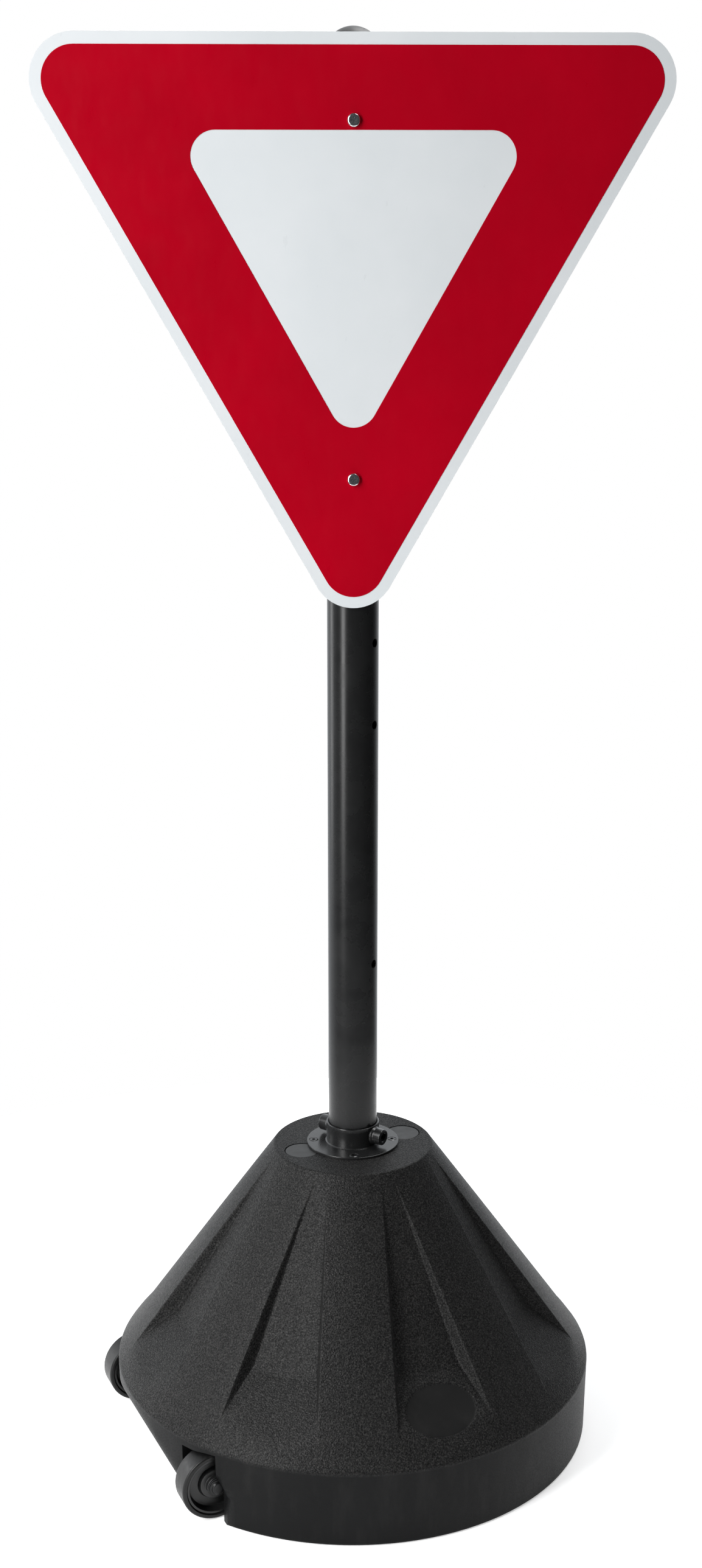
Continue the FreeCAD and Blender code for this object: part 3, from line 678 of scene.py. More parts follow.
def hexagon(half_flat: float) -> list[Pair]:
    """Corners of a hexagon, from its half width across flats."""
    corner = half_flat / math.cos(math.pi / 6)
    return [(corner * math.cos(turn), corner * math.sin(turn))
            for turn in np.arange(6) * math.pi / 3 + math.radians(15)]


def drill_profile(radius: float) -> list[Pair]:
    """Outline of a drill that passes right through the post or the socket."""
    return [(0.0, -60.0), (radius, -60.0), (radius, 60.0), (0.0, 60.0)]


def baked(item: bpy.types.Object) -> None:
    """Replace an object's mesh with its evaluated form and drop its modifiers."""
    graph = bpy.context.evaluated_depsgraph_get()
    mesh = bpy.data.meshes.new_from_object(item.evaluated_get(graph))
    item.modifiers.clear()
    item.data = mesh


def carved(item: bpy.types.Object, cutters: Iterable[bpy.types.Object],
           operation: str = "DIFFERENCE") -> bpy.types.Object:
    """Cut an object with others, which are then removed.

    Args:
        item: The object to cut.
        cutters: The cutting objects.
        operation: The boolean's operation.

    Returns:
        The same object.
    """
    for cutter in cutters:
        step = item.modifiers.new("cut", "BOOLEAN")
        step.operation = operation
        step.solver = "EXACT"
        step.object = cutter
        baked(item)
        bpy.data.objects.remove(cutter)
    return item


def finished(item: bpy.types.Object, finishes: Finishes, slot: Slot, body: Body,
             nodes: Sequence[str], sharp: float = 38.0,
             look: Optional[bpy.types.Material] = None) -> bpy.types.Object:
    """Args:
        item: The finished mesh object.
        finishes: All the materials.
        slot: The material slot.
        body: The body that the piece rides on.
        nodes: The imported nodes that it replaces.
        sharp: Edges that turn more than this many degrees stay crisp.
        look: A finish of its own, when it differs from the slot's.

    Returns:
        The same object.
    """
    mesh = item.data
    mesh.materials.clear()
    mesh.materials.append(look or finishes.by_slot[slot])
    mesh.shade_smooth()
    mesh.set_sharp_from_angle(angle=math.radians(sharp))
    even = item.modifiers.new("even_normals", "WEIGHTED_NORMAL")
    even.keep_sharp = True
    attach(item, body.value)
    if nodes:
        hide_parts(*nodes)
    LOG.info("%s rides on %s, %d faces", item.name, body.value, len(mesh.polygons))
    return item


# ------------------------------------------------------------------ geometry nodes
class RingRepeater:
    """A geometry-nodes tree that repeats a mesh evenly about the Z axis."""

    def __init__(self, name: str) -> None:
        """Build the tree with its named inputs.

        Args:
            name: The tree's name.
        """
        self.tree = bpy.data.node_groups.new(name, "GeometryNodeTree")
        self.tree.is_modifier = True
        self.ids: dict[str, str] = {}
        self._socket("Geometry", "NodeSocketGeometry")
        self._socket("Count", "NodeSocketInt", 8)
        self._socket("Reach", "NodeSocketFloat", 0.0)
        self._socket("Height", "NodeSocketFloat", 0.0)
        self._socket("First Angle", "NodeSocketFloat", 0.0)
        self._socket("Weld", "NodeSocketFloat", 0.0)
        self._socket("Finish", "NodeSocketMaterial")
        self.tree.interface.new_socket(
            name="Geometry", in_out="OUTPUT", socket_type="NodeSocketGeometry")
        self._wire()

    def _socket(self, name: str, kind: str, default: Optional[float] = None) -> None:
        """Add one named input."""
        socket = self.tree.interface.new_socket(name=name, in_out="INPUT", socket_type=kind)
        if default is not None:
            socket.default_value = default
        self.ids[name] = socket.identifier

    def _node(self, kind: str, **inputs: object) -> bpy.types.Node:
        """Add a node and link or set its inputs, underscores standing for spaces."""
        node = self.tree.nodes.new(kind)
        for name, value in inputs.items():
            socket = node.inputs[int(name[1:])] if name[0] == "_" else (
                node.inputs[name.replace("_", " ")])
            if isinstance(value, bpy.types.NodeSocket):
                self.tree.links.new(value, socket)
            else:
                socket.default_value = value
        return node

    def _maths(self, operation: str, first: object, second: object = 0.0) -> bpy.types.NodeSocket:
        """One step of arithmetic."""
        node = self._node("ShaderNodeMath", _0=first, _1=second)
        node.operation = operation
        return node.outputs[0]

    def _wire(self) -> None:
        """Join up the nodes."""
        given = self.tree.nodes.new("NodeGroupInput").outputs
        index = self._node("GeometryNodeInputIndex").outputs[0]
        share = self._maths("DIVIDE", index, given["Count"])
        angle = self._maths("ADD", self._maths("MULTIPLY", share, 2 * math.pi),
                            given["First Angle"])
        across = self._maths("MULTIPLY", self._maths("COSINE", angle), given["Reach"])
        along = self._maths("MULTIPLY", self._maths("SINE", angle), given["Reach"])
        spot = self._node("ShaderNodeCombineXYZ", X=across, Y=along, Z=given["Height"])
        spin = self._node("ShaderNodeCombineXYZ", Z=angle)
        points = self._node("GeometryNodePoints", Count=given["Count"],
                            Position=spot.outputs[0])
        copies = self._node("GeometryNodeInstanceOnPoints", Points=points.outputs[0],
                            Instance=given["Geometry"], Rotation=spin.outputs[0])
        real = self._node("GeometryNodeRealizeInstances", Geometry=copies.outputs[0])
        welded = self._node("GeometryNodeMergeByDistance", Geometry=real.outputs[0],
                            Distance=given["Weld"])
        painted = self._node("GeometryNodeSetMaterial", Geometry=welded.outputs[0],
                             Material=given["Finish"])
        out = self.tree.nodes.new("NodeGroupOutput")
        self.tree.links.new(painted.outputs[0], out.inputs[0])

    def repeat(self, item: bpy.types.Object, finish: bpy.types.Material,
               **values: float) -> bpy.types.Object:
        """Repeat an object's mesh and keep the result as a plain mesh.

        Args:
            item: The object whose mesh is repeated.
            finish: The material of the result.
            **values: The tree's inputs, underscores standing for spaces.

        Returns:
            The same object.
        """
        step = item.modifiers.new(self.tree.name, "NODES")
        step.node_group = self.tree
        for name, value in values.items():
            step[self.ids[name.replace("_", " ")]] = value
        step[self.ids["Finish"]] = finish
        baked(item)
        return item


# ------------------------------------------------------------------ base
def soft_min(first: np.ndarray, second: np.ndarray, size: float) -> np.ndarray:
    """The lower of two surfaces, with their meeting line rounded."""
    share = np.clip(0.5 + 0.5 * (second - first) / size, 0, 1)
    return second + (first - second) * share - size * share * (1 - share)


def soft_max(first: np.ndarray, second: np.ndarray, size: float) -> np.ndarray:
    """The higher of two surfaces, with their meeting line rounded."""
    return -soft_min(-first, -second, size)


@dataclass
class FlutedBase:
    """The moulded shell: a cone with eight pressed flutes on a plain band."""

    finishes: Finishes
    repeater: RingRepeater
    turn: float = 202.5
    band: float = 302.0
    foot: float = 300.5
    rim: float = 96.0
    disc: float = 99.2
    top: float = 378.4
    flutes: int = 8
    head: float = 112.0
    kink: float = 222.0
    tail: float = 289.0
    depth: float = 20.0
    end_depth: float = 0.3
    apex: float = 81.0
    spread: float = 0.328
    draft: float = 5.0
    bevel_foot: float = 262.0
    bevel_height: float = 85.0
    bore: float = 33.3
    pocket: float = 31.0
    pocket_top: float = 200.0
    pocket_floor: float = 32.0
    wheel_radius: float = 43.0
    axle_reach: float = 246.0
    axle_height: float = 43.3
    well_inner: float = 122.0
    well_outer: float = 168.0
    jamb: float = 241.0
    lintel: float = 85.4
    clearance: float = 4.0
    arch_top: float = 91.0
    plug_reach: float = 69.0
    plug_hole: float = 21.8
    pad_reach: float = 258.0
    pad_half: Pair = (44.0, 32.0)
    pad_depth: float = 1.5
    clear: float = 60.0
    under: float = -5.0

    @property
    def slope(self) -> float:
        """Rise of the cone per unit of radius."""
        return (self.top - self.rim) / (self.band - self.disc)

    @property
    def steep(self) -> float:
        """Height lost per unit of depth square to the cone."""
        return math.hypot(1.0, self.slope)

    @property
    def place(self) -> Matrix:
        """Turns the base's own frame into place."""
        return Matrix.Rotation(math.radians(self.turn), 4, "Z")

    def cone(self, radius: np.ndarray) -> np.ndarray:
        """Height of the plain cone at a radius."""
        return self.rim + (self.band - radius) * self.slope

    def flute_depth(self, across: np.ndarray) -> np.ndarray:
        """Depth of a flute's floor under the cone, along the flute."""
        rise = (self.depth - self.end_depth) / (self.kink - self.head)
        fall = (self.depth - self.end_depth) / (self.tail - self.kink)
        return soft_min(self.end_depth + (across - self.head) * rise,
                        self.end_depth + (self.tail - across) * fall, 3.0)

    def floor(self, across: np.ndarray) -> np.ndarray:
        """Height of a flute's floor."""
        return self.cone(across) - self.flute_depth(across) * self.steep

    def half_width(self, across: np.ndarray) -> np.ndarray:
        """Half width of a flute's floor."""
        return ((across - self.apex) * self.spread
                - self.draft * np.clip(self.flute_depth(across), 0, None) / self.depth)

    def columns(self, radius: float) -> np.ndarray:
        """Angles of a row's points over one sector, gathered at the flute's walls.

        Args:
            radius: The row's distance from the axis.

        Returns:
            Angles in radians, from one side of the sector to the other.
        """
        ring = min(max(radius, self.head), self.tail)
        foot = 10.0
        for _ in range(12):
            foot = float(self.half_width(np.array(math.sqrt(ring ** 2 - foot ** 2))))
        across = np.array(math.sqrt(ring ** 2 - foot ** 2))
        lean = self.draft / (self.depth * self.steep)
        wall = max(0.25, lean * float(self.cone(np.array(ring)) - self.floor(across)))
        edge = ring * math.sin(math.pi / self.flutes)
        inner = [(foot - 3.0) * share for share in (0.0, 0.25, 0.5, 0.75, 0.9)]
        near = [foot - 3.0, foot - 1.6, foot - 0.6]
        across_wall = [foot + wall * share for share in (0.1, 0.3, 0.5, 0.7, 0.9)]
        crest = [foot + wall + gap for gap in (0.5, 1.4, 3.0)]
        outer = [crest[-1] + (edge - crest[-1]) * share for share in (0.22, 0.5, 0.76)]
        half = np.arcsin(np.array(inner + near + across_wall + crest + outer) / ring)
        half = np.append(half, math.pi / self.flutes)
        return np.concatenate([-half[:0:-1], half])

    def profile(self) -> list[Pair]:
        """Outline of the shell from the middle of its underside to the pocket's floor."""
        corners = [(0.0, 0.0), (self.foot, 0.0), (self.band, self.rim), (self.disc, self.top),
                   (self.bore, self.top), (self.bore, self.pocket_top),
                   (self.pocket, self.pocket_top), (self.pocket, self.pocket_floor),
                   (0.0, self.pocket_floor)]
        line = rounded(corners, [0, 3.0, 5.0, 3.5, 0.8, 0, 0, 0, 0], 5)

        def longest(first: Pair, last: Pair) -> float:
            """Longest run between two points of the outline."""
            if first[0] > self.foot - 4 and last[0] > self.foot - 4:
                return 5.0
            if first[0] > self.disc - 3 and last[0] > self.disc - 4 and last[1] > 1:
                return 4.6
            return 14.0 if last[1] > self.top - 1 else 36.0
        return divided(line, longest)

    def sector(self) -> bpy.types.Object:
        """One eighth of the shell, its flute centred on +X."""
        line = self.profile()
        points: list[tuple[float, float, float]] = []
        rows: list[list[int]] = []
        for radius, height in line:
            if radius < 1e-6:
                rows.append([len(points)])
                points.append((0.0, 0.0, height * MM))
                continue
            angles = self.columns(radius)
            heights = np.full(len(angles), height)
            if height > self.rim - 6 and self.disc - 2 < radius:
                heights = self.pressed(radius, angles, heights)
            rows.append(list(range(len(points), len(points) + len(angles))))
            points += [(radius * math.cos(angle) * MM, radius * math.sin(angle) * MM, z * MM)
                       for angle, z in zip(angles, heights)]
        faces: list[tuple[int, ...]] = []
        for low, high in zip(rows, rows[1:]):
            if len(low) == 1:
                faces += [(low[0], high[step + 1], high[step]) for step in range(len(high) - 1)]
            elif len(high) == 1:
                faces += [(low[step], low[step + 1], high[0]) for step in range(len(low) - 1)]
            else:
                faces += [(low[step], low[step + 1], high[step + 1], high[step])
                          for step in range(len(low) - 1)]
        mesh = bpy.data.meshes.new("base_sector")
        mesh.from_pydata(points, [], faces)
        item = bpy.data.objects.new("base_moulding", mesh)
        bpy.context.scene.collection.objects.link(item)
        return item

    def pressed(self, radius: float, angles: np.ndarray, heights: np.ndarray) -> np.ndarray:
        """Heights of a row with the flute pressed in.

        Args:
            radius: The row's distance from the axis.
            angles: The row's angles.
            heights: The row's heights on the plain form.

        Returns:
            The lowered heights.
        """
        across = radius * np.cos(angles)
        aside = np.abs(radius * np.sin(angles))
        lean = self.draft / (self.depth * self.steep)
        floor = self.floor(across)
        wall = floor + (aside - self.half_width(across)) / lean
        return soft_min(heights, soft_max(floor, wall, 5.0), 4.0)

    def tip_edge(self, item: bpy.types.Object) -> None:
        """Draw the band in to the slanted face that the base tips over."""
        mesh = item.data
        points = np.zeros(len(mesh.vertices) * 3)
        mesh.vertices.foreach_get("co", points)
        points = points.reshape(-1, 3) / MM
        radius = np.hypot(points[:, 0], points[:, 1])
        cosine = points[:, 0] / np.maximum(radius, 1e-6)
        reach = self.band * np.maximum(cosine, 0.2)
        plane = (self.bevel_foot + (self.band - self.bevel_foot)
                 * points[:, 2] / self.bevel_height)
        kept = (reach - soft_max(reach - plane, np.zeros_like(plane), 5.0)) / reach
        weight = np.clip((radius - 150) / (self.foot - 150), 0, 1)
        low = (points[:, 2] < self.rim + 1) & (cosine > 0.7) & (radius > 150)
        factor = np.where(low, 1 - (1 - kept) * weight, 1.0)
        points[:, :2] *= factor[:, None]
        mesh.vertices.foreach_set("co", (points * MM).ravel())
        mesh.update()

    def well_cutters(self) -> list[bpy.types.Object]:
        """The blocks that cut both wheel wells and their windows."""
        reach = self.wheel_radius + self.clearance
        far, under = self.band + self.clear, self.under
        arc = [math.radians(turn) for turn in range(180, 64, -6)]
        well = [(self.axle_reach - reach, under)]
        well += [(self.axle_reach + reach * math.cos(turn),
                  min(self.axle_height + reach * math.sin(turn), self.arch_top)) for turn in arc]
        well += [(self.axle_reach + 23.0, self.lintel), (far, self.lintel), (far, under)]
        window = rounded(
            [(self.jamb, under), (self.jamb, self.axle_height), (self.jamb + 20, self.lintel),
             (far, self.lintel), (far, under)], [0, 14.0, 6.0, 0, 0], 6)
        blocks = []
        for side in (1, -1):
            for outline, low, high in ((well, self.well_inner, self.well_outer),
                                       (window, self.well_outer - 1, self.band + 20)):
                stand = Matrix.Rotation(math.pi / 2, 4, "X")
                ends = sorted((-side * low, -side * high))
                blocks.append(prism("well_block", outline, ends[0], ends[1], stand))
        return blocks

    def other_cutters(self) -> list[bpy.types.Object]:
        """The blocks that cut the plug seats and the blank oval."""
        seat = rounded([(0.0, self.top - 2.6), (self.plug_hole, self.top - 2.6),
                        (self.plug_hole, self.top), (self.plug_hole + 4, self.top + 4),
                        (0.0, self.top + 4)], [0, 0.5, 1.4, 0, 0], 4)
        blocks = [turned("plug_seat", seat, Matrix.Translation((side * self.plug_reach * MM, 0, 0)),
                         64) for side in (1, -1)]
        kink_floor = float(self.cone(np.array(self.kink))) - self.depth * self.steep
        tail_floor = float(self.cone(np.array(self.tail))) - self.end_depth * self.steep
        fall = (kink_floor - tail_floor) / (self.tail - self.kink)
        height = kink_floor - fall * (self.pad_reach - self.kink)
        dish = rounded([(0.0, -self.pad_depth), (1.0, -self.pad_depth), (1.035, 0.0),
                        (1.2, 8.0), (0.0, 8.0)], [0] * 5)
        stand = (Matrix.Translation((0, self.pad_reach * MM, height * MM))
                 @ Matrix.Rotation(-math.atan(fall), 4, "X"))
        oval = turned("oval_block", [(radius * 1000, z * 1000) for radius, z in dish], Matrix(), 72)
        stretch = Matrix.Diagonal((self.pad_half[0] * MM, self.pad_half[1] * MM, MM, 1))
        oval.data.transform(stand @ stretch)
        return blocks + [oval]

    def build(self) -> None:
        """Make the shell and dress it."""
        shell = self.sector()
        finish = self.finishes.by_slot[Slot.MOULDED]
        self.repeater.repeat(shell, finish, Count=self.flutes, Weld=0.02 * MM)
        self.tip_edge(shell)
        tidy(shell, 2e-6)
        carved(shell, self.well_cutters() + self.other_cutters())
        tidy(shell, 2e-6)
        shell.data.transform(self.place)
        finished(shell, self.finishes, Slot.MOULDED, Body.BASE, ["base_shell"], 50.0)


@dataclass
class Plugs:
    """The two flush plugs beside the flange."""

    finishes: Finishes
    base: FlutedBase
    radius: float = 21.0

    def build(self) -> None:
        """Make both plugs."""
        top = self.base.top
        profile = rounded([(0.0, top - 0.5), (self.radius - 6, top - 0.35),
                           (self.radius, top - 0.25), (self.radius, top - 2.4),
                           (17.4, top - 2.4), (17.4, top - 16.0), (0.0, top - 16.0)], [0, 3.0, 1.3, 0.2, 0.2, 0.4, 0], 5)
        for name, side in (("fill_plug", 1), ("vent_plug", -1)):
            place = self.base.place @ Matrix.Translation((side * self.base.plug_reach * MM, 0, 0))
            plug = turned(f"{name}_moulding", profile, place)
            finished(plug, self.finishes, Slot.MOULDED, Body.BASE, [name],
                     look=self.finishes.plug)


# ------------------------------------------------------------------ socket
@dataclass
class Socket:
    """Flange, welded tube, bosses, set screws and the flange's own screws."""

    finishes: Finishes
    base: FlutedBase
    repeater: RingRepeater
    bore: float = 30.75
    tube: float = 33.0
    flange: float = 57.5
    thickness: float = 3.0
    tube_top: float = 407.4
    tube_foot: float = 200.0
    boss: float = 10.0
    boss_reach: float = 46.0
    screw_height: float = 394.5
    screw_angle: float = -35.0
    screw_radius: float = 5.0
    screw_tip: float = 30.45
    screw_length: float = 13.5
    screw_hole: float = 5.4
    key_flat: float = 2.5
    key_depth: float = 5.0
    fixing_reach: float = 49.2
    fixing_head: float = 5.6
    fixing_angle: float = 67.5

    def along(self, reverse: bool) -> Matrix:
        """Stands a turned piece level, pointing out of the tube."""
        turn = math.radians(self.screw_angle + (180 if reverse else 0))
        return (Matrix.Translation((0, 0, self.screw_height * MM))
                @ Matrix.Rotation(turn, 4, "Z") @ Matrix.Rotation(math.pi / 2, 4, "Y"))

    def build(self) -> None:
        """Make every piece of the socket."""
        self.build_flange()
        self.build_tube()
        for side, reverse in (("front", False), ("rear", True)):
            self.build_boss(side, reverse)
            self.build_set_screw(side, reverse)
        self.build_fixings()

    def build_flange(self) -> None:
        """The round plate with its weld fillet and four countersinks."""
        low, top = self.base.top, self.base.top + self.thickness
        profile = rounded(
            [(self.tube + 0.05, low), (self.flange, low), (self.flange, top),
             (self.tube + 1.3, top), (self.tube + 0.05, top + 1.3)], [0, 0.3, 0.7, 0.8, 0], 6)
        plate = turned("flange_plate", profile, Matrix(), 144, True)
        drills = []
        for step in range(4):
            turn = math.radians(self.base.turn + self.fixing_angle + 90 * step)
            spot = Matrix.Translation((self.fixing_reach * math.cos(turn) * MM,
                                       self.fixing_reach * math.sin(turn) * MM, 0))
            hole = self.fixing_head + 0.1
            drills.append(turned("flange_drill", [
                (0.0, low - 4), (hole, low - 4), (hole, top - 0.3), (hole + 4, top + 3.7),
                (0.0, top + 3.7)], spot, 40))
        carved(plate, drills)
        finished(plate, self.finishes, Slot.STEEL, Body.BASE, ["socket_flange"])

    def build_tube(self) -> None:
        """The upright tube, drilled for both set screws."""
        corners = [(self.bore, self.tube_foot), (self.tube, self.tube_foot),
                   (self.tube, self.screw_height - 12), (self.tube, self.tube_top),
                   (self.bore, self.tube_top), (self.bore, self.screw_height - 12)]
        profile = rounded(corners + corners[:1], [0, 0, 0, 0.8, 0.5, 0, 0], 4)[:-1]
        tube = turned("socket_sleeve", profile, Matrix(), 128, True)
        drill = turned("tube_drill", drill_profile(self.screw_hole), self.along(False), 32)
        carved(tube, [drill])
        finished(tube, self.finishes, Slot.STEEL, Body.BASE, ["socket_tube"])

    def build_boss(self, side: str, reverse: bool) -> None:
        """A threaded boss with a chamfered mouth and a weld at its root."""
        hole = self.screw_radius + 0.05
        corners = [(hole, self.tube - 1.2), (self.boss + 1.5, self.tube - 1.2),
                   (self.boss + 0.9, self.tube + 0.8), (self.boss, self.tube + 2.4),
                   (self.boss, self.boss_reach), (hole + 0.9, self.boss_reach),
                   (hole, self.boss_reach - 0.9)]
        profile = rounded(corners, [0, 0, 1.0, 1.6, 1.2, 0.3, 0], 5)
        boss = turned(f"screw_boss_{side}_turned", profile, self.along(reverse), 72, True)
        finished(boss, self.finishes, Slot.STEEL, Body.BASE, [f"screw_boss_{side}"])

    def build_set_screw(self, side: str, reverse: bool) -> None:
        """A grub screw with thread ridges and a hexagon key socket."""
        tip, end = self.screw_tip, self.screw_tip + self.screw_length
        crest, root = self.screw_radius, self.screw_radius - 0.55
        profile = [(0.0, tip), (crest - 1.4, tip), (root, tip + 0.9)]
        at = tip + 1.1
        while at < end - 1.3:
            profile += [(crest, at + THREAD_PITCH * 0.35), (crest, at + THREAD_PITCH * 0.5),
                        (root, at + THREAD_PITCH)]
            at += THREAD_PITCH
        profile += [(crest, end - 0.7), (crest - 0.7, end), (0.0, end)]
        screw = turned(f"set_screw_{side}_turned", profile, self.along(reverse), 48)
        key = prism("key_block", hexagon(self.key_flat), end - self.key_depth, end + 2,
                    self.along(reverse))
        carved(screw, [key])
        body = Body.REAR_SCREW if reverse else Body.FRONT_SCREW
        finished(screw, self.finishes, Slot.FASTENER, body, [f"set_screw_{side}"], 30.0)

    def build_fixings(self) -> None:
        """Four flush screws in the flange, repeated about the post."""
        top, head = self.thickness, self.fixing_head
        profile = rounded([(0.0, top - 18.0), (3.0, top - 18.0), (3.0, 0.1), (head, 0.1),
                           (head, top - 0.4), (head - 1.3, top + 0.35), (0.0, top + 0.4)],
                          [0, 0.4, 0, 0.1, 0.3, 0.8, 0], 4)
        screw = turned("flange_screws", profile, Matrix(), 40)
        key = prism("key_block", hexagon(2.1), top - 4.0, top + 3)
        carved(screw, [key])
        first = math.radians(self.base.turn + self.fixing_angle)
        self.repeater.repeat(screw, self.finishes.by_slot[Slot.STEEL], Count=4,
                             Reach=self.fixing_reach * MM, Height=self.base.top * MM,
                             First_Angle=first)
        finished(screw, self.finishes, Slot.FASTENER, Body.BASE,
                 [f"flange_screw_{number}" for number in range(1, 5)], 35.0,
                 self.finishes.by_slot[Slot.STEEL])


# ------------------------------------------------------------------ wheels
@dataclass
class Wheel:
    """One wheel with its tyre, core, washer and push nut."""

    finishes: Finishes
    base: FlutedBase
    side: str
    outward: int
    body: Body
    inner: float = 130.0
    width: float = 30.0
    seam: float = 36.5
    tread_round: float = 6.4
    bore: float = 6.42
    hub: float = 12.5
    ring: float = 18.5
    ring_half: float = 9.0
    web_half: float = 3.0
    rim_half: float = 13.0
    gap: float = 0.3
    washer: float = 12.0
    washer_thickness: float = 1.5
    nut: float = 10.5
    nut_height: float = 4.6

    @property
    def place(self) -> Matrix:
        """Stands a turned piece on the axle, pointing outwards."""
        return (self.base.place
                @ Matrix.Translation((self.base.axle_reach * MM, 0, self.base.axle_height * MM))
                @ Matrix.Rotation(-math.pi / 2 * self.outward, 4, "X"))

    def build(self) -> None:
        """Make every piece of the wheel."""
        outer, middle = self.inner + self.width, self.inner + self.width / 2
        tread = self.base.wheel_radius
        tyre = rounded(
            [(self.seam, self.inner + 2.4), (self.seam + 1.2, self.inner), (tread, self.inner),
             (tread, middle), (tread, outer), (self.seam + 1.2, outer), (self.seam, outer - 2.4)],
            [0, 1.0, self.tread_round, 0, self.tread_round, 1.0, 0], 10)
        piece = turned(f"{self.side}_tyre", tyre, self.place, 128, True)
        finished(piece, self.finishes, Slot.RUBBER, self.body, [f"wheel_tyre_{self.side}"])
        half = [(self.bore, self.width / 2), (self.hub, self.width / 2),
                (self.hub, self.ring_half), (self.ring, self.ring_half),
                (self.ring + 2, self.web_half), (self.seam - 4, self.web_half),
                (self.seam - 3, self.rim_half), (self.seam - 0.03, self.rim_half)]
        sizes = [0, 1.2, 0.8, 1.4, 1.2, 2.2, 0.9, 0]
        upper = [(radius, middle + rise) for radius, rise in rounded(half, sizes, 5)]
        lower = [(radius, middle - rise) for radius, rise in reversed(rounded(half, sizes, 5))]
        core = turned(f"{self.side}_wheel_core", upper + lower, self.place, 96, True)
        finished(core, self.finishes, Slot.WHEEL, self.body, [f"wheel_core_{self.side}"])
        low = outer + self.gap
        seat = low + self.washer_thickness
        washer = rounded([(self.bore, low), (self.washer, low), (self.washer, seat),
                          (self.bore, seat)], [0, 0.4, 0.4, 0], 3)
        plate = turned(f"{self.side}_axle_washer", washer, self.place, 64, True)
        finished(plate, self.finishes, Slot.ZINC, Body.BASE, [f"axle_washer_{self.side}"],
                 look=self.finishes.by_slot[Slot.FASTENER])
        end = seat + self.nut_height
        nut = rounded([(0.0, seat + 2.4), (self.bore, seat + 2.4), (self.bore, seat),
                       (self.nut, seat), (self.nut, seat + 1.0), (8.6, seat + 1.3),
                       (7.4, seat + 3.9), (4.4, end), (0.0, end)],
                      [0, 0, 0.2, 0.3, 0.4, 1.0, 1.6, 1.4, 0], 5)
        cap = turned(f"{self.side}_push_nut", nut, self.place, 64)
        finished(cap, self.finishes, Slot.ZINC, Body.BASE, [f"push_nut_{self.side}"],
                 look=self.finishes.by_slot[Slot.FASTENER])


# ------------------------------------------------------------------ post
@dataclass
class Post:
    """The coated tube with its cross holes, and the domed cap."""

    finishes: Finishes
    radius: float = 30.15
    wall: float = 2.1
    foot: float = 35.8
    top: float = 1657.5
    hole: float = 5.25
    hole_heights: tuple[float, ...] = (1012.0, 915.0, 619.0)
    hole_angle: float = -32.5
    bolt_heights: tuple[float, ...] = (1579.0, 1200.0)
    bolt_hole: float = 4.3
    dome: float = 33.4
    dome_height: float = 19.3

    def build(self) -> None:
        """Make the tube and the cap."""
        inner = self.radius - self.wall
        rows = sorted([height + gap for height in self.hole_heights + self.bolt_heights
                       for gap in (-9.0, 9.0)])
        wall = [(self.radius, row) for row in rows]
        lining = [(inner, row) for row in reversed(rows)]
        ends = 0.5
        profile = ([(inner, self.foot), (self.radius - ends, self.foot),
                    (self.radius, self.foot + ends)] + wall
                   + [(self.radius, self.top - ends), (self.radius - ends, self.top),
                      (inner, self.top)] + lining)
        tube = turned("post_coated_tube", profile, Matrix(), 128, True)
        drills = []
        for height in self.hole_heights:
            stand = (Matrix.Translation((0, 0, height * MM))
                     @ Matrix.Rotation(math.radians(self.hole_angle), 4, "Z")
                     @ Matrix.Rotation(math.pi / 2, 4, "Y"))
            drills.append(turned("post_drill", drill_profile(self.hole), stand, 40))
        for height in self.bolt_heights:
            stand = (Matrix.Translation((0, 0, height * MM)) @ Matrix.Rotation(math.pi / 2, 4, "X"))
            drills.append(turned("bolt_drill", drill_profile(self.bolt_hole), stand, 32))
        carved(tube, drills)
        finished(tube, self.finishes, Slot.POST, Body.MAST, ["post_tube"], 45.0)
        self.build_cap(inner)

    def build_cap(self, inner: float) -> None:
        """The domed cap with its hidden stem."""
        centre = self.top + self.dome_height - self.dome
        edge = math.asin(self.radius / self.dome)
        arc = [(self.dome * math.sin(turn), centre + self.dome * math.cos(turn))
               for turn in np.linspace(edge, 0.0, 24)]
        stem = [(0.0, self.top - 20.0), (inner - 0.1, self.top - 20.0), (inner - 0.1, self.top),
                (self.radius - 0.4, self.top), (self.radius, self.top + 0.4)]
        cap = turned("post_domed_cap", stem + arc, Matrix(), 96)
        finished(cap, self.finishes, Slot.PLASTIC, Body.MAST, ["post_cap"])


